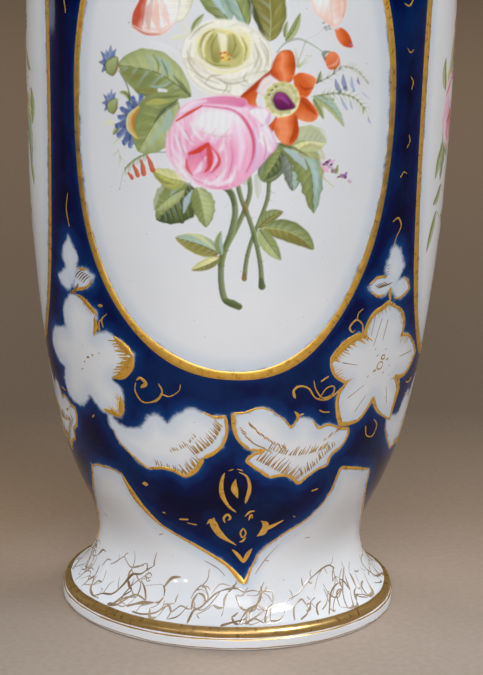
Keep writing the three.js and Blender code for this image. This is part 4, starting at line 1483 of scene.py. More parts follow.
def cream_rose(c, light="cream", shade="shade", heart="cream_green", core="olive"):
    """The open pale rose with a green and yellow heart."""
    c.blob([(-19.6, 213), (-17, 206), (-11, 201.4), (-2, 200), (5.4, 202.6), (10, 207.6), (10.6, 214),
            (7.4, 220.6), (2, 224.4), (-5, 226), (-12, 224.8), (-17.4, 219.6)], [light, light], (0, 1),
           light, 1.3, soft=1.0)
    petals = [
        ([(4, 223), (8.8, 219), (10.8, 213), (9.6, 207.6), (6, 205.6), (5, 212), (2.8, 217.6)],
         (1, 0.3)),
        ([(-18.6, 219.4), (-19.8, 213.4), (-17, 209), (-14.4, 213.4), (-14.4, 219.6), (-11.6, 223.6)],
         (-1, 0)),
        ([(-1, 207.8), (4, 208.8), (9.8, 209), (8, 204.4), (3, 201.4), (-2, 200.4), (-4.4, 203.6)],
         (0.3, -1)),
        ([(-19, 212.4), (-16.6, 206.2), (-11.4, 202.2), (-5, 200.8), (-2.6, 204), (-6.6, 207.4),
          (-12.6, 209.2), (-15.4, 212.8)], (-0.4, -1)),
        ([(-6, 222.4), (-1, 224.6), (4, 222.8), (1, 220.4), (-3, 221)], (0.2, 1)),
        ([(-14.4, 212.4), (-10.4, 207.8), (-3.6, 205.8), (3, 207.8), (5.2, 212.2), (1, 210.4),
          (-4.6, 209.2), (-10.4, 210.8)], (0.1, -1)),
    ]
    for ring, lean in petals:
        c.blob(ring, [shade, light, light], lean, shade, 0.9, 0.9, soft=0.9)
        c.blob(ring, [light, "white"], lean, alpha=0.35, soft=3.4)
    for line, w, a in (([(-17.4, 209.6), (-12, 206.4), (-6.4, 204.6)], [0.3, 0.9, 0.3], 0.55),
                       ([(6.4, 218.6), (8.8, 213.4), (8, 209)], [0.3, 0.8, 0.3], 0.6),
                       ([(-1, 205.6), (2.6, 204), (6, 206)], [0.3, 0.9, 0.3], 0.5),
                       ([(5.6, 208.6), (7, 212), (5.8, 216.4)], [0.3, 0.8, 0.3], 0.55),
                       ([(-16.2, 217.6), (-16.8, 213.6), (-15, 210.6)], [0.3, 0.7, 0.3], 0.5)):
        c.dab(line, w, (164, 160, 130), a, 0.6)
    for line in ([(-17.6, 215.4), (-16.4, 210.6), (-12.4, 206.4)],
                 [(-14.6, 206.8), (-9, 203.2), (-3, 202.2)],
                 [(-8.4, 206.6), (-3, 204.8), (2.6, 206)], [(1.6, 202.8), (6.6, 205.2), (9, 209.6)],
                 [(9.4, 210.4), (9, 215.6), (6.2, 220)], [(4.8, 210.4), (6, 214.2), (4.6, 218.4)],
                 [(-16.6, 219), (-13.4, 222.8), (-9, 225)],
                 [(-11.4, 204.6), (-9.4, 207), (-5.6, 207.6)],
                 [(3.4, 204.4), (1.4, 206.6), (2.4, 208.6)], [(-5.4, 201.4), (-4, 204), (-6.4, 206)]):
        c.dab(line, [0.25, 0.7, 0.25], (150, 146, 112), 0.6, 0.5)
    c.dab([(-0.6, 207.6), (1.6, 203.4), (4.4, 205.2), (4, 209)], [0.5, 1.3, 1.2, 0.4], (208, 211, 213),
          0.5)
    c.blob([(-15, 219), (-14.4, 213.8), (-10.4, 210.2), (-4, 208.6), (1.4, 210.4), (3.8, 215),
            (2.6, 220.4),
            (-2, 223), (-7, 223.6), (-12, 222.8)], [heart, heart, "cream_yellow"], (0.5, 1), light, 1.8,
           0.95, soft=1.2)
    c.blob([(-13.4, 218.6), (-12.6, 213.6), (-8.4, 211.6), (-7.4, 216), (-9, 221.4)],
           [heart, core], (0.6, 0.5), heart, 1.0, 0.7, soft=1.0)
    c.blob([(-9.6, 218.6), (-9.2, 212.4), (-6.8, 211.6), (-5.8, 216.6), (-7.4, 221.4)], [core, heart],
           (0.4, 1),
           alpha=0.9, soft=1.0)
    c.blob([(-4.4, 220.6), (-4.2, 215.6), (-2, 213), (0.4, 215.4), (0, 219.4), (-2, 221.6)],
           [core, heart],
           (0.5, 0.6), alpha=0.8, soft=1.0)
    c.blob([(-7.6, 221.6), (-6.6, 216.4), (-5.6, 212), (-4.4, 216), (-4.6, 220.4)],
           ["cream_yellow", light], (0, 1), alpha=0.9, soft=0.8)
    for line, w in (([(-14.8, 213.4), (-14, 218.8), (-10, 223)], [0.5, 1.7, 0.6]),
                    ([(-11.6, 212), (-12, 217.4), (-9.4, 222)], [0.4, 1.1, 0.5]),
                    ([(-7.4, 223), (-2, 222), (0.8, 217.6)], [0.5, 1.3, 0.5]),
                    ([(-1, 223.6), (3, 220), (3.6, 213.6)], [0.6, 1.9, 0.6]),
                    ([(-12.6, 211.4), (-7, 208.9), (-0.6, 209.6), (3.4, 213)], [0.5, 1.6, 1.4, 0.5])):
        c.dab(line, w, [light, "cream_yellow"], 0.9, 0.8)
    c.dab([(0.6, 219.6), (2, 216), (1, 212)], [0.4, 1.3, 0.4], "cream_yellow", 0.8, 0.8)
    c.dab([(-9.6, 211.4), (-6, 210.2), (-1.6, 211)], [0.4, 1.1, 0.4], heart, 0.7, 0.8)
    for line in ([(-13.2, 216.4), (-12, 220.4), (-8.6, 222.6)], [(-9, 213), (-9.4, 217), (-7.6, 220.8)],
                 [(-3, 214), (-1.6, 217.4), (-2.4, 221)], [(1.4, 212.6), (2, 216.6), (0.4, 220.2)],
                 [(-12.4, 213.2), (-8.6, 210.9), (-3.4, 210.7)]):
        c.dab(line, [0.25, 0.75, 0.25], core, 0.75, 0.5)
    c.spots([(-6.3, 214.6), (-5, 214.9), (-3.7, 214.4), (-5.8, 213.2), (-3.6, 212.8)], 0.8, "heart")
    c.spots([(-5, 213.9), (-4.4, 213), (-5.2, 212.6)], 0.7, "gold_yellow")


def anemone(c, mid="orange", deep="orange_deep", light="orange_light", eye="purple"):
    """The red single flower with a dark eye."""
    c.blob([(7, 188), (9.6, 187.6), (12.4, 190), (12.8, 194.4), (10.8, 192)], [deep, mid], (1, 1))
    c.blob([(-0.8, 196.8), (0.4, 200.6), (4, 203.8), (7.4, 206.2), (6.4, 202), (5.8, 199),
            (6.4, 195.9)],
           [light, mid, deep], (-0.4, 1))
    c.dab([(0.8, 200.4), (5, 204), (9.6, 208.4), (11, 210)], [0.6, 1.5, 1.5, 0.6], deep)
    c.blob([(5.6, 202.4), (8, 206.8), (12.8, 208), (13.4, 204.6), (11, 201.6), (8, 200.6)],
           [(214, 205, 204), (222, 214, 212)], (1, 1), (200, 184, 182), 0.7)
    c.blob([(10, 208), (11, 212.4), (13.2, 215.8), (17.2, 215.9), (18.7, 211), (17.6, 206), (15, 204.9),
            (12.2, 206.4)], [deep, mid, light, mid, deep], (1, 0.15), deep, 0.7)
    c.dab([(14.4, 214.6), (14, 210), (15.4, 206.8)], [0.5, 1.4, 0.5], "orange_light", 0.55)
    c.blob([(17.4, 207.4), (20.6, 208.8), (25.6, 206.8), (25, 203), (22.6, 200), (19, 201.4)],
           [mid, mid, light], (1, 0.5), light, 0.8)
    c.dab([(24.6, 203.4), (22, 203), (20, 204.6)], [0.5, 1.0, 0.4], deep, 0.8)
    c.blob([(19.6, 200.8), (23, 200), (27, 195), (26, 192.2), (22, 192), (18, 195)],
           [light, mid, deep], (0.1, 1), light, 0.7)
    c.dab([(20.4, 199.6), (23.4, 197), (26.2, 194.4)], [0.4, 1.6, 0.4], deep, 0.8)
    c.blob([(12.2, 193), (11.8, 189), (14.4, 185.2), (17.8, 184.3), (20.2, 187), (20.3, 191),
            (19, 195), (15, 194.4)], [mid, light, light, mid, deep], (1, 0), mid, 0.6)
    c.dab([(19.2, 193.6), (19.4, 189.6), (17.6, 185.4)], [0.8, 2.0, 0.6], deep, 0.8)
    turn = np.linspace(0, 2 * math.pi, 13)[:-1]

    def ring(r, dx=0.0, dz=0.0):
        return [(14.4 + dx + r * math.cos(a), 199.6 + dz + r * 0.98 * math.sin(a)) for a in turn]

    c.blob(ring(6.0), ["cream", "cream"], rim="cream_yellow", rim_width=1.0)
    for start, a in enumerate(turn):
        p = (14.2 + 4.6 * math.cos(a), 200 + 4.4 * math.sin(a))
        q = (14.2 + 5.4 * math.cos(a + 0.5), 200 + 5.2 * math.sin(a + 0.5))
        c.dab([p, q], [1.6, 1.2], "lime" if start % 2 else "cream_green", 0.75)
    c.blob(ring(3.9, -0.2, 0.3), ["olive", "cream_green"], (1, 1), alpha=0.8)
    c.blob([(11.0, 199.4), (12.2, 202), (15, 202), (17.4, 199.6), (18.9, 197), (16, 196),
            (12.8, 196.3)],
           [(76, 16, 60), eye, "purple_light"], (0.2, 1), (70, 14, 52), 0.8)
    c.dab([(12.6, 200.4), (14.6, 200), (16.6, 198.2)], [0.5, 1.1, 0.4], "purple_light", 0.9)
    c.spots([(10.9, 202.8), (9.9, 201.2), (12.2, 203.9)], 0.6, "ink", 0.8)


def tulip(c, edge="brick", mid="blush", light="shell"):
    """The pale striped flower at the upper left."""
    c.blob([(-22, 224), (-20.6, 232), (-21, 240), (-17.6, 245), (-15.2, 238), (-16, 230), (-19, 225)],
           ["cream", "cream", "shade"], (1, 0.1), "shade", 1.0)
    c.blob([(-37.6, 221.6), (-37.2, 226), (-34.6, 231.4), (-33, 238), (-31, 245), (-27, 240),
            (-28.6, 230), (-30.6, 221.4)], [edge, edge, mid, light], (1, -0.2), edge, 0.8)
    c.blob([(-33.4, 221), (-32.6, 228), (-30.6, 238), (-27, 247), (-22.6, 241), (-20.8, 231),
            (-21.6, 225), (-25.4, 220.6), (-30, 219.3)], [mid, light, light, "cream"], (1, 0.1),
           light, 1.0)
    c.dab([(-37, 221.8), (-32, 219.8), (-26, 220.4), (-22, 224)], [0.9, 1.4, 1.2, 0.4], mid, 0.95)
    c.dab([(-36.6, 221.4), (-32, 219.6), (-27, 219.9)], [0.8, 0.9, 0.3], edge, 0.7)
    for line, w, tone, a in (([(-33.2, 222.6), (-33, 228), (-31.4, 234)], [0.4, 1.5, 0.4], edge, 0.6),
                             ([(-31, 221.4), (-31.4, 226), (-30, 231)], [0.8, 3.4, 0.8], edge, 0.4),
                             ([(-27, 220.8), (-28.6, 225), (-28, 230)], [0.8, 3.2, 0.8], mid, 0.8),
                             ([(-23.6, 223), (-25, 226), (-25.6, 230)], [0.5, 2.2, 0.5], mid, 0.7),
                             ([(-28, 222), (-29, 228), (-28, 234)], [0.4, 2.0, 0.4], mid, 0.6),
                             ([(-25, 222.4), (-26.6, 228), (-26, 236)], [0.4, 1.3, 0.4], mid, 0.45),
                             ([(-35.6, 224), (-34.4, 229), (-32.6, 234)], [0.4, 1.0, 0.4], "red", 0.35),
                             ([(-30.4, 221.6), (-27, 221.2), (-24, 223)], [0.4, 1.2, 0.4], mid, 0.7)):
        c.dab(line, w, tone, a)


def cornflower(c, mid="blue", deep="blue_deep", pale="blue_pale"):
    """The ragged blue flower at the left."""
    tips = [(-31.2, 197.6), (-33.6, 198.4), (-36.6, 197.6), (-38.6, 195.6), (-40.9, 193.6),
            (-42, 190.6),
            (-43, 187.6), (-42.4, 184.4), (-40.2, 182.2), (-37.8, 181.4), (-35.6, 182.8)]
    for i, (x, z) in enumerate(tips):
        root = (-35 + (x + 36) * 0.25, 189.5 + (z - 189) * 0.25)
        c.dab([root, ((root[0] + x) / 2, (root[1] + z) / 2 + 0.4), (x, z)], [1.6, 2.8, 2.0],
              [pale, mid, deep] if i % 2 else [mid, deep, mid], 0.95)
        for dx, dz in ((-0.9, 0.6), (0.8, -0.5), (0, 0.9)):
            c.dab([(x * 0.9 + root[0] * 0.1, z * 0.9 + root[1] * 0.1), (x + dx, z + dz)], [0.8, 0.5],
                  pale if dx > 0 else mid, 0.85)


def blue_bud(c):
    """A small blue flower half open."""
    for x, z in ((-50.4, 208.4), (-49.6, 211.9), (-45.6, 214.4), (-43.6, 213.4), (-49.2, 205.4),
                 (-47.6, 212.6), (-44.6, 212.6)):
        c.dab([(-46.4, 208.6), ((x - 46.4) / 2, z / 2 + 104.3), (x, z)], [1.4, 2.5, 0.9],
              ["blue_pale", "blue"] if x > -48 else ["blue", "blue_deep"], [0.95, 0.9], 0.6)
    c.blob([(-47.6, 205), (-47.9, 208.6), (-44.6, 211), (-42.4, 210.8), (-42.6, 207), (-44.6, 204.2)],
           ["leaf", "leaf_light"], (-0.4, 1), "leaf_dark", 0.9)
    c.dab([(-43, 209.6), (-43.2, 207), (-44.6, 205)], [0.4, 0.9, 0.4], "brown", 0.6)


def fuchsia(c):
    """Two hanging blush petals with an orange tip."""
    c.dab([(22.2, 219.6), (26, 221.4), (28.4, 223.4)], [0.5, 0.6, 0.6], "grey", 0.5)
    c.blob([(23, 233), (24.6, 228.4), (28, 225.4), (31, 223.8), (31.2, 229), (29.4, 236), (26.4, 240),
            (23.4, 238)], ["blush", "shell", "shell"], (0.2, 1), "blush", 1.0)
    c.blob([(31, 223.6), (34, 224.4), (36.2, 229), (36, 234), (34, 240), (31.2, 238), (29.9, 231)],
           ["shell", "blush", "shell"], (1, 0.4), "blush", 1.2)
    c.dab([(34.8, 226.6), (35.4, 231), (34, 236)], [0.4, 1.0, 0.4], "brick", 0.35)
    c.blob([(31.6, 222.6), (34.4, 223.2), (37.4, 220.8), (39, 216.4), (35.6, 216.6), (33, 219)],
           ["orange_light", "orange", "orange_deep"], (1, 0.1), "orange", 0.6)
    c.dab([(38, 217.4), (40.4, 216)], [1.0, 0.4], "pink_deep", 0.6)
    c.dab([(30.6, 224.4), (33, 222.8)], [1.2, 0.8], "blush", 0.8)
    c.spots([(27.8, 224.8), (28.4, 223.4), (29.6, 223.6), (30.2, 222.8), (28.9, 222.6)], 0.9, "grey",
            0.8)


def orange_bud(c):
    """A small orange bud on its stalk."""
    c.dab([(12, 215.4), (15, 218.6), (19, 219.8), (23, 218.4), (27.4, 215.6)], [0.7, 1.2, 0.9, 0.7],
          ["sea", "stem"], 0.8)
    c.dab([(21.6, 218.6), (20.2, 214.6), (18.8, 210.6)], [0.7, 0.5], "stem_light", 0.8)
    c.blob([(28.2, 213), (30.6, 215.4), (33.2, 214.6), (34.4, 211.8), (33, 209.4), (30, 209.4)],
           ["orange", "orange_light"], (-0.4, 1), "orange", 0.7)
    c.dab([(30, 210.4), (32.4, 211), (33.6, 213)], [0.4, 1.2, 0.4], "blush", 0.4)
    c.dab([(30.2, 215.4), (28.2, 214.8), (28.6, 212.6)], [0.6, 1.9, 0.6], ["leaf_dark", "grey"], 0.9)
    c.dab([(32.6, 209.6), (32, 208)], [0.7, 0.4], "brown", 0.7)


def spray(c, line, width, count, reach, tone, both=True, alpha=0.8):
    """A small fern-like sprig: short strokes on one or both sides of a thin stem."""
    path = spline(line, 0.5)
    c.dab(line, 0.7, tone, alpha)
    for i in range(count):
        k = int((i + 0.6) * (len(path) - 1) / count)
        x, z = path[k]
        dx, dz = path[min(k + 1, len(path) - 1)] - path[max(k - 1, 0)]
        size = math.hypot(dx, dz) + 1e-6
        dx, dz = dx / size * reach, dz / size * reach
        for sign in ((1, -1) if both else (1,)):
            c.dab([(x, z), (x + dx * 0.7 - sign * dz * 0.8, z + dz * 0.7 + sign * dx * 0.8)],
                  [width, width * 0.6], tone, alpha)


def rose_stems(c):
    """The crossing stems and the small leaves on them."""
    stems = [
        ([(3.8, 175), (4.4, 168), (2.6, 161.6), (-0.2, 155), (-3.2, 149), (-5, 143)], 1.9),
        ([(10.8, 172), (10.4, 166), (8.2, 159), (5.6, 152), (4, 145.4), (3.3, 138.6)], 1.7),
        ([(-0.2, 172.6), (1.6, 166), (4.6, 158.6), (7, 151), (8.8, 143), (9.5, 135.8)], 1.9),
        ([(-4.8, 170.4), (-1.6, 167.4), (-0.4, 161), (-1.8, 153.6), (-4.4, 146), (-4.8, 138.6),
          (-3.8, 132),
          (-2, 129.8), (1.6, 128.4)], 2.4),
    ]
    for line, width in stems:
        c.dab(line, [width, width, width, width * 1.15], ["stem_light", "stem", "stem_dark"], 0.97, 0.5)
    c.dab([(-4.8, 170.2), (-2.4, 168), (-0.8, 164)], [1.6, 2.2, 1.0], "stem_dark", 0.6)
    c.dab([(-2.9, 130.2), (-0.4, 129.6), (2.2, 128.4)], [2.0, 2.6, 1.4], ["stem", "stem_dark"], 0.95)
    c.dab([(9.2, 137.8), (9.6, 135.6)], [1.8, 2.9], ["stem", "deep"], 0.95)
    c.dab([(3.4, 140), (3.3, 138.2)], [1.3, 2.1], ["stem", "brown"], 0.85)
    c.dab([(2.9, 164.4), (3.4, 162)], [1.6, 2.2], "brown", 0.35)
    for x, z, dx, dz in ((-1.4, 166.6, -1.6, 0.6), (-0.8, 158, -1.8, 0.5), (-2.6, 152.4, -1.6, 0.9),
                         (-4.4, 148, 3.6, 0), (-4.8, 142.6, 2.6, 0.2), (-5, 141.4, -2, 0.2),
                         (5.4, 159.4, 1.6, 0.6), (7.4, 149.4, 2.2, 1.6), (8.8, 144.4, 2, 0.4),
                         (4.2, 146.4, -1.6, 0.4), (10.4, 169, 3.8, -1.6), (10.6, 166, 2.4, -1.4),
                         (0.8, 167.6, -1, 1), (6.2, 154, -1.8, 0.4), (9.6, 160, 1.6, 1)):
        c.dab([(x, z), (x + dx, z + dz)], [0.6, 0.25], "stem", 0.55, 0.4)
    c.dab([(10.6, 167), (13, 168.4), (14.8, 169.6)], [0.5, 0.4], "grey", 0.4)
    c.dab([(15.6, 167), (19, 165.4), (21.6, 162)], [0.4, 0.8, 0.3], "grey", 0.35)
    c.leaf([(7.6, 156), (11.4, 159.8), (16.2, 161.6)], 2.6, 2.2, ["leaf", "olive", "leaf_dark"],
           serrate=0.02)
    c.leaf([(9.4, 156.2), (17, 155), (23.4, 151.8), (27.8, 147.8)], 4.0, 3.6,
           ["leaf", "olive", "stem_dark"], "leaf_light", serrate=0.02)
    c.leaf([(8, 155.6), (11.6, 150.4), (16, 144.6)], 2.6, 3.0, ["leaf", "leaf_light", "leaf"],
           serrate=0.02)
    c.leaf([(-5.6, 147), (-12.6, 149.8), (-21.2, 151.6)], 3.9, 3.6, ["olive", "sea", "lime"],
           serrate=0.02)
    c.dab([(-7, 148.4), (-12, 152), (-17, 153.6)], [0.4, 1.6, 0.5], "pear", 0.7)
    c.leaf([(-5.2, 145.2), (-9.4, 142.8), (-15.4, 140.4)], 1.8, 2.4, ["olive", "pear", "olive"],
           serrate=0.02)
    c.dab([(-7, 146.2), (-5.4, 145.6)], 1.0, "brown", 0.6)
    c.leaf([(-4.8, 146.2), (-5.9, 150.6), (-5, 155)], 1.5, 1.5, ["leaf", "sea", "leaf"], serrate=0.0)


def rose_leaves(c):
    """The leaves under the pink rose."""
    c.leaf([(-16, 170.6), (-20, 164.4), (-28, 157)], 7.4, 6.2, ["leaf_dark", "leaf", "deep"],
           "leaf_dark", 8)
    c.leaf([(-18, 168.6), (-23, 165.4), (-28.6, 160)], 3.2, 5.0, ["leaf_light", "leaf", "olive"],
           veins=6, alpha=0.85)
    c.dab([(-15, 168), (-17, 164.4), (-18, 160.4)], [0.8, 2.4, 0.5], "sky", 0.75)
    c.dab([(-20, 169), (-22.4, 166.6), (-22, 165)], [0.5, 1.2, 0.3], "sea", 0.6)
    c.leaf([(-13.6, 169.4), (-11.8, 163), (-10.2, 155.6)], 4.8, 3.4,
           ["leaf_light", "leaf", "leaf_dark"],
           "leaf", 8)
    c.leaf([(-17.6, 171), (-23, 171.8), (-29.6, 174)], 3.6, 3.2, ["lime", "pear", "leaf"], "leaf", 6)
    c.dab([(-28.6, 173), (-25.8, 170.6), (-22, 169.8)], [0.5, 1.3, 0.5], "leaf_dark", 0.5)
    c.blob([(7, 178), (6.8, 174), (9, 171.6), (12.4, 172), (15.4, 174.6), (17.4, 177.4), (16.6, 182),
            (12.6, 184.4), (9.6, 180.4)], ["leaf", "grey", "leaf_dark"], (0.6, 1), "leaf_dark", 1.4)
    c.leaf([(16, 184.6), (13, 178.6), (9, 172.6)], 3.4, 3.4, ["leaf_dark", "leaf", "leaf_dark"])
    c.leaf([(17.6, 183.6), (18.4, 176), (19, 168.4)], 4.8, 3.4, ["sea", "grey", "leaf_dark"], "deep", 7)
    c.leaf([(14, 184.8), (21, 181.4), (25.4, 174), (27, 160.4)], 4.6, 5.2, ["sea", "leaf", "leaf_dark"],
           "leaf_dark", 9, 0.10)
    c.dab([(15.6, 183), (20.4, 180.4), (23.6, 176)], [0.6, 3.6, 0.6], "sky", 0.75)
    c.dab([(25.6, 177), (27.4, 172.6), (27.4, 168)], [0.5, 1.3, 0.4], "sky", 0.6)
    c.leaf([(17.6, 184), (23, 185.6), (30.6, 184.6)], 5.4, 4.6, ["leaf_light", "pear", "leaf_light"],
           "leaf", 7, 0.03, 0.9)
    c.leaf([(20.6, 181.6), (26, 181.4), (30.4, 179)], 3.0, 2.0, ["leaf_light", "lime", "brown"], "leaf",
           5,
           alpha=0.7)
    c.dab([(12.6, 185), (18, 183.6), (23.6, 180.6)], [0.8, 1.0, 0.4], "leaf_dark", 0.8)
    c.dab([(28, 180), (29.4, 173.6), (33.8, 169.4)], [0.5, 0.9, 0.5], "lime", 0.8)
    c.dab([(33.8, 169.4), (34.8, 172.6), (33, 175.4)], [0.4, 0.6, 0.3], "leaf_light", 0.6)
    c.leaf([(1, 176), (2.4, 173.6), (2.6, 170.4)], 1.8, 1.6, ["leaf_light", "leaf", "leaf"], alpha=0.7)
    c.leaf([(6.2, 174.6), (7, 170.4), (7.2, 165.6)], 1.5, 1.4, ["leaf_light", "leaf", "leaf_light"],
           alpha=0.6)


def sprigs(c):
    """The fine sprays and buds at both sides."""
    for x, z, dx, dz, tone in ((30.8, 177.6, 1.2, 1.0, "purple_light"),
                               (29.8, 176.8, -0.8, 0.6, "lilac"),
                               (31.8, 176.4, 1.4, -0.4, "lilac"),
                               (33.2, 174.8, 1.6, 0.2, "purple_light"),
                               (34.6, 174.6, 0.4, 1.8, "leaf"), (36.8, 173, 1.4, -0.4, "purple_light"),
                               (38, 172.8, 0.6, 1.0, "violet"), (40, 171, 0.8, -0.4, "lilac"),
                               (32.8, 177.8, 0.8, 0.6, "lilac"), (30.4, 175.6, 1.0, -0.8, "pink")):
        c.dab([(x, z), (x + dx, z + dz)], [1.7, 1.1], tone, 0.9, 0.45)
    c.spots([(30.9, 178), (32.6, 177), (35.6, 172.6), (38.4, 172.2), (29.9, 177.3)], 0.8, "purple")
    c.dab([(29, 178.4), (35, 174), (40, 170.4), (43.4, 166)], [0.5, 0.5, 0.4, 0.25], "leaf", 0.6)
    c.dab([(24.4, 200.4), (33, 201.2), (40, 199.4), (45, 195), (47.6, 190)], [0.6, 0.6, 0.5, 0.3],
          "leaf", 0.7)
    c.dab([(26, 205), (30.6, 207), (34.4, 210), (38, 209.6), (44, 205.6), (48, 200.6)],
          [0.5, 0.6, 0.4, 0.25], "leaf", 0.5)
    for x, z, dx, dz, tone, w in ((34.6, 201.8, -1.8, 4.0, "blue", 1.6),
                                  (36.8, 202.6, -1.2, 4.6, "blue", 1.7),
                                  (40, 201.8, -1.2, 4.6, "blue_pale", 1.3),
                                  (42, 204, -0.6, 2.0, "violet", 1.0),
                                  (37.6, 195.6, -2.4, 4.2, "blue_pale", 1.0),
                                  (39.6, 196, -0.6, 2.2, "blue_pale", 0.8),
                                  (44.4, 194, -0.4, 2, "leaf_light", 0.8),
                                  (46.4, 192, 1.2, -2, "blue_pale", 0.7),
                                  (43.4, 201, 3.4, -2.6, "blue_pale", 0.5)):
        c.dab([(x, z), (x + dx * 0.5 - 0.3, z + dz * 0.5), (x + dx, z + dz)], [w, w * 1.25, w * 0.5],
              tone,
              0.85, 0.45)
    c.spots([(36.4, 202.9), (34.8, 201.4)], 1.0, "ink", 0.55)
    for i in range(7):
        c.dab([(34.2 + i * 0.9, 209.6 + 0.2 * (i % 2)), (35.2 + i * 0.9, 211.4)], [0.4, 0.25], "leaf",
              0.4)
    for i in range(5):
        c.dab([(28.4 + i, 199.6), (28.0 + i, 201.9)], [0.45, 0.25], "leaf_dark", 0.6)
    c.leaf([(26, 200.6), (29.6, 198.6), (33, 199.2)], 1.6, 1.6, ["sea", "sea", "leaf"])
    c.leaf([(25, 200.8), (32, 196), (37, 189.4)], 2.2, 1.5, ["sea", "leaf_light", "lime"], "leaf")
    c.leaf([(25, 200), (27.4, 196.4), (29.2, 192.4)], 1.2, 1.4, ["leaf_light", "leaf", "leaf"])
    c.leaf([(25.8, 204.6), (26.8, 206.6), (27.4, 209.2)], 0.8, 0.8, ["leaf", "leaf", "leaf"], serrate=0)
    c.dab([(24.4, 191), (28.6, 189), (31, 185.4)], [0.4, 0.9, 0.3], "leaf_light", 0.7)
    c.dab([(24.6, 192), (28, 190.6), (30.6, 188)], [0.4, 0.6, 0.3], "sea", 0.6)
    for tip in ((23.8, 214), (24.4, 212.6), (22.4, 214.2), (17.8, 217.4), (18.6, 216.4)):
        c.dab([(19.6, 210.6), tip], [1.0, 0.6], "leaf_light", 0.55)
    c.dab([(24, 214.2), (22, 214.2)], 0.5, "ochre", 0.6)
    c.leaf([(14.8, 219), (17.6, 222.6), (19.8, 228.6)], 1.5, 1.5, ["leaf", "leaf_light", "olive"],
           serrate=0)
    c.leaf([(14.6, 220), (14.8, 223.4), (15.6, 226)], 0.9, 0.9, ["leaf", "leaf_light", "leaf"],
           serrate=0)
    # Left side.
    c.dab([(-24, 180.6), (-31, 179.6), (-37, 176), (-40.4, 172), (-42.2, 166)], [0.7, 0.7, 0.5, 0.3],
          "leaf_dark", 0.75)
    spray(c, [(-31, 179.6), (-36, 177), (-40, 173.4)], 0.9, 9, 2.4, "leaf", both=False, alpha=0.75)
    spray(c, [(26, 205), (30.6, 207), (35, 209.8)], 0.6, 4, 2.0, "leaf_dark", alpha=0.6)
    spray(c, [(27, 200.6), (33, 201.2), (40, 199.4), (45, 195)], 0.7, 10, 2.6, "leaf", alpha=0.65)
    spray(c, [(36, 210), (41, 208.6), (46, 203.6)], 0.6, 9, 2.2, "leaf", alpha=0.5)
    for x, z, dx, dz, w in ((-31.2, 178.6, 1.9, -4.4, 1.9), (-33.6, 177, 1.0, -4.4, 2.0),
                            (-36.6, 175, 1.7, -3.2, 1.8), (-38.6, 172, 1.5, -1.4, 1.5)):
        c.dab([(x, z), (x + dx * 0.5 + 0.2, z + dz * 0.5), (x + dx, z + dz)], [0.9, w * 1.05, w * 1.15],
              ["orange", "orange_deep"], 0.95, 0.4)
    c.dab([(-28.2, 178.4), (-27, 175.2)], [0.7, 0.9], "lilac", 0.6)
    c.dab([(-25.6, 178.2), (-25.2, 176)], [0.5, 0.8], "pink", 0.5)
    c.spots([(-40, 169.2), (-42, 166)], 0.8, "grey", 0.5)
    for line in ([(-44.6, 181.4), (-42.4, 183.2), (-40.4, 184.2)], [(-44.6, 177.2), (-42.4, 179.6)],
                 [(-42.4, 179.6), (-41.8, 176.4), (-42.4, 173.6)], [(-42, 177.4), (-40.2, 176)],
                 [(-40.6, 182.6), (-39.4, 180)]):
        c.dab(line, [0.7, 1.0, 0.5], "leaf_light", 0.65)
    c.dab([(-48.8, 187.4), (-46, 188.6), (-43, 187.6)], [0.6, 1.7, 0.6], "pear", 0.7)
    c.leaf([(-41.8, 187.6), (-43.4, 186.2), (-45, 184.2)], 1.1, 1.1, ["leaf", "leaf_light", "leaf"],
           serrate=0)
    c.leaf([(-37.6, 196.6), (-39.6, 198.8), (-42.4, 199.2)], 0.9, 1.2, ["leaf_light", "leaf", "olive"],
           serrate=0)
    c.dab([(-42.4, 206.4), (-39.8, 203.2), (-38.2, 199.6), (-37.8, 195.8)], [0.6, 0.9, 0.9, 1.1],
          ["stem", "stem_dark"], 0.85)
    c.dab([(-43.4, 194), (-41.6, 193.4), (-40.4, 191.6)], [0.5, 0.6], "grey", 0.6)


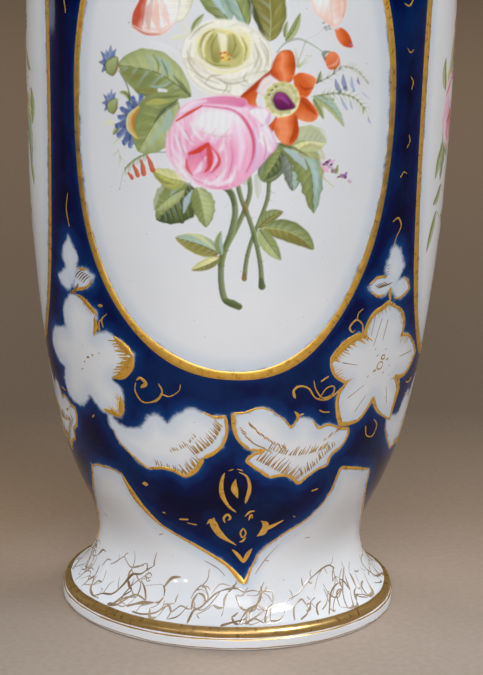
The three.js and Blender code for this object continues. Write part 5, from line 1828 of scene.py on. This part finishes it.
def left_leaves(c):
    """The two large leaves at the left, with a cornflower and buds."""
    c.leaf([(-15.8, 199.8), (-21.6, 204), (-29, 207.4), (-42.6, 208.6)], 9.6, 7.4,
           ["leaf", "leaf_light", "leaf"], "leaf_dark", 7, 0.03, fullness=1.15)
    for line, w, a in (([(-26, 206), (-25, 209.6), (-28, 212.4)], [0.8, 3.0, 0.8], 0.75),
                       ([(-30, 207.6), (-29.6, 210.4), (-31.6, 212.6)], [0.6, 2.0, 0.6], 0.55),
                       ([(-22, 205.6), (-23.6, 208.6), (-24, 211)], [0.6, 1.9, 0.5], 0.7),
                       ([(-24, 203.6), (-27, 202), (-30, 202.4)], [0.6, 2.0, 0.5], 0.65)):
        c.dab(line, w, "sea", a)
    for line, w, a in (([(-27.6, 207), (-27.4, 210), (-29.4, 213)], [0.4, 0.9, 0.3], 0.6),
                       ([(-23.8, 205.4), (-24.8, 208.6), (-26.4, 211.4)], [0.4, 0.9, 0.3], 0.6),
                       ([(-16.4, 200.4), (-19, 203.2), (-22, 206.4)], [0.8, 1.6, 0.4], 0.7)):
        c.dab(line, w, "leaf_dark", a)
    c.dab([(-33, 206), (-37, 204.6), (-40.6, 206.4)], [0.6, 2.6, 0.6], "olive", 0.5)
    c.dab([(-24.6, 202.4), (-29, 201), (-35.4, 200.8)], [0.5, 1.9, 0.5], "olive", 0.75)
    c.dab([(-28, 199.2), (-33, 199.4), (-36, 200.6)], [0.4, 0.9, 0.4], "leaf_dark", 0.5)
    # Painted highlight: this white spot on the leaf stands in for a lamp's glint on the glaze.
    c.dab([(-27, 201.3), (-24.6, 201.3)], [1.3, 1.0], "white", 0.85, 0.5)
    c.dab([(-22.4, 200.6), (-22, 202.2)], [0.9, 0.6], "leaf", 0.6)
    cornflower(c)
    c.leaf([(-20.4, 198.6), (-25, 194.8), (-29, 189.4), (-34.6, 179.6)], 9.2, 8.4,
           ["leaf_light", "leaf", "leaf"], "leaf_dark", 6, 0.03, fullness=0.95)
    c.dab([(-24, 195.4), (-23.6, 191.6), (-26, 187.4)], [0.8, 4.2, 1.0], "sea", 0.75)
    c.dab([(-26.6, 190), (-28, 186), (-30.6, 183)], [0.5, 2.0, 0.6], "sea", 0.5)
    c.dab([(-34.6, 194.8), (-37.6, 191), (-37.8, 187.4), (-35, 184.4)], [0.9, 2.8, 2.6, 0.9],
          ["ochre", "cream_yellow"], 0.85)
    c.dab([(-34.8, 194.2), (-36.6, 190.6), (-36.2, 187.2)], [0.5, 1.5, 0.6], "heart", 0.75)
    c.dab([(-31.6, 196.4), (-28, 197.4), (-24, 197.6)], [0.6, 2.6, 0.8], "lime", 0.8)
    c.dab([(-21, 197.4), (-25.4, 194.4), (-28.6, 190.4)], [1.0, 1.5, 0.5], "deep", 0.55)
    for k in range(5):
        c.dab([(-29.6 - k * 0.9, 192 - k * 2.2), (-33 - k * 0.6, 190.4 - k * 1.6)], [0.5, 0.9], "olive",
              0.5)
    c.dab([(-20.2, 199.8), (-24, 199.2), (-29, 198.6)], [0.5, 0.8, 0.4], "leaf_dark", 0.6)
    blue_bud(c)
    c.put((-45.5, 207.5), (-45.2, 194), 0, 0.82)
    blue_bud(c)
    c.put()


def top_leaves(c):
    """The leaves behind the upper flowers."""
    c.leaf([(-3.4, 225), (-8.6, 231.6), (-13.4, 240), (-16.8, 251)], 4.4, 5.4,
           ["leaf", "sea", "leaf_dark"],
           "leaf_dark", 7)
    c.dab([(-5.6, 228), (-9.4, 234), (-12, 241)], [0.7, 3.0, 0.7], "sky", 0.75)
    c.leaf([(2.2, 223.8), (-1, 231), (-5, 240), (-7.6, 249)], 3.6, 4.2, ["sea", "leaf", "leaf_dark"],
           "leaf_dark", 7)
    c.leaf([(9.6, 219), (9.8, 227), (8.4, 237), (4.6, 248)], 6.0, 5.6, ["olive", "olive", "leaf_dark"],
           "leaf_light", 7)
    c.dab([(7.6, 221), (4.4, 228), (1.4, 236)], [1.0, 2.0, 0.6], "deep", 0.75)
    c.leaf([(-16.2, 220.4), (-15, 224), (-12, 227.8)], 1.0, 1.3, ["leaf", "leaf_light", "leaf_dark"],
           serrate=0)
    c.dab([(-16.4, 220.8), (-18.4, 222.4), (-19, 225)], [0.6, 1.3, 0.4], "pear", 0.7)
    c.dab([(-22.8, 218.6), (-20, 219.4), (-17.4, 220.6)], [1.2, 1.9, 0.5], "pear", 0.7)
    c.dab([(-30, 217), (-26, 216), (-21, 214.4)], [1.0, 2.0, 0.6], (205, 214, 212), 0.4)
    c.dab([(-21.4, 216), (-19.6, 214.6)], [0.5, 0.8], "grey", 0.4)
    c.dab([(-16.8, 200.6), (-13, 201.6), (-9, 200.6)], [0.5, 1.2, 0.4], "shade", 0.4)


def front_bouquet():
    """The main bunch, painted from back to front."""
    c = Canvas(-54, 52, 124, 270, 5)
    # Above the part that is known, the bunch is closed with more of the same flowers.
    spray(c, [(-20, 240), (-26, 250), (-30, 258)], 0.9, 7, 2.4, "leaf")
    spray(c, [(16, 238), (22, 250), (24, 260)], 0.9, 7, 2.4, "leaf_light")
    c.leaf([(14, 236), (22, 242), (31, 250)], 4.6, 4.2, ["sea", "leaf", "leaf_dark"])
    c.leaf([(-14, 244), (-22, 252), (-24, 261)], 4.0, 3.6, ["leaf", "olive", "leaf_dark"])
    tulip(c)
    top_leaves(c)
    c.put(PLACE["cornflower"], (12, 252), 200, 0.85)
    cornflower(c)
    c.spots([(-36 + dx, 189 + dz) for dx, dz in ((0, 0), (1.6, 0.8), (-1.4, 1), (0.4, -1.6),
                                                 (-1, -0.8))],
            1.6, "blue_deep")
    c.put(PLACE["cream_rose"], (-4, 247), 30, 0.62)
    cream_rose(c, "shell", "blush", "gold_yellow", "ochre")
    c.put()
    fuchsia(c)
    orange_bud(c)
    rose_stems(c)
    rose_leaves(c)
    sprigs(c)
    left_leaves(c)
    cream_rose(c)
    anemone(c)
    pink_rose(c)
    c.piece("front_bouquet")


GREENERY = (rose_stems, rose_leaves, sprigs, left_leaves, top_leaves)
TIE_Z = 158                               # where the stems of a posy come together


def posy(name, seed, middle, reach, parts, leaves=(), low=132, high=262):
    """A bunch: stems and leaves first, then flowers, each put where the list says."""
    c = Canvas(middle - reach, middle + reach, low, high, seed)
    heads = [to for flower, to, *_ in parts if flower not in GREENERY]
    for x, z in heads:
        c.dab([(middle, TIE_Z), (middle + x * 0.3, (TIE_Z + z) / 2), (middle + x, z)], [1.5, 1.2, 0.9],
              ["stem_light", "stem", "stem_dark"], 0.92, 0.5)
    for points, _ in leaves:
        x, z = points[0]
        c.dab([(middle + x, z), (middle + x * 0.6, z - 5), (middle, z - 14)], [0.6, 0.8, 0.9],
              ["stem_light", "stem"], 0.85, 0.5)
    for flower, to, turn, size, mirror, *tones in parts:
        c.put(PLACE.get(flower.__name__, (0, 170)), (middle + to[0], to[1]), turn, size, mirror)
        flower(c, *tones)
    c.put()
    for points, half in leaves:
        points = [(middle + x, z) for x, z in points]
        c.leaf(points, half, half * 0.9, ["leaf_light", "leaf", "leaf_dark"], "leaf_dark", 5, 0.02)
    c.piece(name)


def make_paintings():
    """The bouquets of the four panels."""
    front_bouquet()
    yellow = ("cream", "cream_yellow", "gold_yellow", "heart")
    violet = ("blue_pale", "violet", "lilac", "ink")
    posy("right_posy", 21, SIDE - 1.4, 37, [
        (rose_stems, (3, 166), 0, 0.86, False), (rose_leaves, (2, 172), 0, 0.9, True),
        (rose_leaves, (6, 200), 150, 0.8, False), (tulip, (9, 233), -12, 0.8, True),
        (cornflower, (18, 214), 180, 0.85, False), (anemone, (-2, 214), 10, 0.82, True),
        (cream_rose, (12, 201), -20, 0.76, False, *yellow), (pink_rose, (-8, 187), 0, 0.9, False),
        (anemone, (17, 182), 20, 0.74, False, *violet)],
        [([(-23, 196), (-25.6, 202), (-25, 208)], 2.6), ([(-22, 177), (-26, 171), (-29, 165)], 2.6),
         ([(-24, 153), (-27.6, 146), (-31, 139)], 2.4), ([(-20, 162), (-24, 158), (-29, 156)], 2.2)])
    posy("left_posy", 34, -SIDE - 2.6, 37, [
        (rose_stems, (-2, 164), 0, 0.86, True), (rose_leaves, (-2, 172), 0, 0.9, False),
        (sprigs, (-8, 178), 0, 0.6, True), (blue_bud, (-14, 228), 20, 1.0, False),
        (fuchsia, (2, 236), 0, 0.9, True), (cornflower, (12, 214), 160, 0.6, False),
        (anemone, (3, 190), -15, 0.9, True), (cream_rose, (-8, 212), 15, 0.74, True)],
        [([(24, 193), (26, 187), (25, 180)], 2.8), ([(20, 167), (23, 163), (25, 158)], 2.2),
         ([(14, 205), (19, 201), (24, 199)], 2.4)])
    posy("back_bouquet", 55, HALF_ROUND - 1, 53, [
        (rose_stems, (-2, 164), 0, 1.0, True), (rose_leaves, (0, 172), 0, 1.0, True),
        (sprigs, (0, 172), 0, 0.95, True), (left_leaves, (-2, 174), 0, 0.95, True),
        (top_leaves, (2, 176), 0, 0.9, True), (tulip, (20, 232), 0, 0.9, True),
        (fuchsia, (-22, 228), 0, 0.9, True), (cornflower, (-18, 214), 200, 0.9, False),
        (pink_rose, (8, 216), 15, 0.84, True, "blush", "orange_light", "brick", "red", "blush"),
        (anemone, (-12, 196), 40, 0.95, True, *violet),
        (cream_rose, (10, 188), 0, 0.98, True, *yellow)], low=124, high=270)


make_paintings()


# ---------------------------------------------------------------- floor, light and camera
FLOOR_HALF = 6.0
LIGHT_POOL_MIDDLE = (0.03, -0.16, 0)            # middle of the painted pool of light, just before the foot


def make_floor():
    """A pale cloth with painted light: a painted pool of light round the foot, darker away from it,
    painted shade far in front and painted light far behind.
    """
    mesh = bpy.data.meshes.new("floor")
    half = FLOOR_HALF
    mesh.from_pydata([(-half, -half, 0), (half, -half, 0), (half, half, 0), (-half, half, 0)], [],
                     [(0, 1, 2, 3)])
    floor = bpy.data.objects.new("floor", mesh)
    bpy.context.scene.collection.objects.link(floor)
    material, nodes, links, shader = new_material("floor_cloth")
    place = nodes.new("ShaderNodeTexCoord")
    length = nodes.new("ShaderNodeVectorMath")
    length.operation = "LENGTH"
    shift = nodes.new("ShaderNodeVectorMath")
    shift.operation = "SUBTRACT"
    shift.inputs[1].default_value = LIGHT_POOL_MIDDLE
    links.new(place.outputs["Object"], shift.inputs[0])
    links.new(shift.outputs[0], length.inputs[0])
    # Painted pool of light: the cloth is lightest near the foot and darker away from it.
    near = mapped(nodes, links, length.outputs["Value"], 0.12, 0.62)
    tone = ramp(nodes, links, near.outputs[0], [
        (0.0, (0.372, 0.296, 0.240)), (0.30, (0.205, 0.142, 0.090)), (0.60, (0.104, 0.069, 0.040)),
        (1.0, (0.100, 0.066, 0.038))], smooth=False)
    depth = nodes.new("ShaderNodeSeparateXYZ")
    links.new(place.outputs["Object"], depth.inputs[0])
    # Painted shade: far in front of the vase the cloth is painted dark.
    front = mapped(nodes, links, depth.outputs["Y"], -0.45, -0.65)
    # Painted light: far behind, the cloth is painted up to about twice as light, against the lamps'
    # falloff.
    back = mapped(nodes, links, depth.outputs["Y"], 0.3, 2.0, 1.0, 2.1)
    weave = noise(nodes, links, 2.5, 3)
    grain = mapped(nodes, links, weave.outputs["Fac"], 0.3, 0.7, 0.94, 1.06)
    shade = nodes.new("ShaderNodeMath")
    shade.operation = "MULTIPLY"
    links.new(grain.outputs[0], shade.inputs[0])
    links.new(back.outputs[0], shade.inputs[1])
    ground = mixed(nodes, links, front.outputs[0], tone.outputs["Color"], (0.130, 0.098, 0.072))
    lit = nodes.new("ShaderNodeVectorMath")
    lit.operation = "SCALE"
    links.new(ground, lit.inputs[0])
    links.new(shade.outputs[0], lit.inputs["Scale"])
    links.new(lit.outputs[0], shader.inputs["Base Color"])
    shader.inputs["Roughness"].default_value = 0.95
    floor.data.materials.append(material)


def make_world():
    """A dim, even fill from all round."""
    world = bpy.data.worlds.new("room")
    world.use_nodes = True
    bpy.context.scene.world = world
    back = world.node_tree.nodes["Background"]
    back.inputs["Color"].default_value = (0.30, 0.29, 0.29, 1)
    back.inputs["Strength"].default_value = 0.08


def area_light(name, place, aim, size, power, colour, turn=0.0):
    """A soft box that the camera doesn't see, aimed at a point."""
    light = bpy.data.lights.new(name, "AREA")
    light.shape = "RECTANGLE"
    light.size, light.size_y = size
    light.energy = power
    light.color = colour
    lamp = bpy.data.objects.new(name, light)
    lamp.location = place
    facing = (Vector(aim) - Vector(place)).to_track_quat("-Z", "Y")
    lamp.rotation_euler = (facing.to_matrix() @ Matrix.Rotation(turn, 3, "Z")).to_euler()
    lamp.visible_camera = False
    bpy.context.scene.collection.objects.link(lamp)
    return lamp


CAMERA_PLACE = (0, -0.95, 0.345)
CAMERA_AIM = (0.00296, 0, 0.0988)
CAMERA_LEAN = math.radians(1.39)
GLINT_AWAY = 1.5                          # metres from the glaze to the lamp it mirrors


def glint(name, x, z, size, power, turn=0.0):
    """A small lamp placed so that the glaze mirrors it to the camera from one spot."""
    spot = Vector(on_wall(x, z).tolist())
    normal = Vector(wall_normal(np.array([x]), np.array([z]))[0].tolist())
    seen = (spot - Vector(CAMERA_PLACE)).normalized()
    out = seen - 2 * seen.dot(normal) * normal
    lamp = area_light(name, spot + out * GLINT_AWAY, spot, size, power, (1, 1, 1), turn)
    lamp.visible_diffuse = False


def make_lights():
    """Two soft boxes before the vase, two behind it, and the lamps that the glaze mirrors."""
    aim = (0, 0, 0.2)
    cool = (0.97, 0.985, 1.0)
    area_light("front_soft", (0, -2.2, 1.35), aim, (1.6, 1.3), 58, cool)
    area_light("overhead", (0.1, -0.3, 2.2), aim, (2.4, 1.8), 9, cool)
    for name, x, power in (("rear_soft_left", -1.45, 21), ("rear_soft_right", 1.45, 30)):
        rear = area_light(name, (x, 1.0, 1.05), aim, (0.9, 1.0), power, (0.98, 0.99, 1.0))
        rear.visible_glossy = False
    for name, x, z, size, power, turn in (
            ("window_glint", 27, 12.4, (0.42, 0.36), 52, math.pi / 4),
            ("lamp_glint_a", -29.5, 20.4, (0.07, 0.035), 1.3, 0.0),
            ("lamp_glint_b", -23.5, 20.9, (0.07, 0.035), 1.3, 0.0),
            ("left_window", -76, 185, (0.16, 1.5), 1.3, 0.0),
            ("right_window", 75, 205, (0.10, 1.3), 0.7, 0.0),
            ("strip_glint", -50.6, 199.5, (0.022, 0.20), 0.7, 0.0)):
        glint(name, x, z, size, power, turn)


def make_camera():
    """A long lens a metre away, a little above the vase and leaning slightly to one side."""
    data = bpy.data.cameras.new("camera")
    data.lens = 142.7
    data.sensor_width = 36.0
    data.clip_start, data.clip_end = 0.05, 50.0
    camera = bpy.data.objects.new("camera", data)
    place = Vector(CAMERA_PLACE)
    facing = (Vector(CAMERA_AIM) - place).to_track_quat("-Z", "Y").to_matrix().to_4x4()
    camera.matrix_world = Matrix.Translation(place) @ facing @ Matrix.Rotation(CAMERA_LEAN, 4, "Z")
    bpy.context.scene.collection.objects.link(camera)
    bpy.context.scene.camera = camera


make_floor()
make_world()
make_lights()
make_camera()
bpy.context.scene.view_settings.view_transform = "Standard"
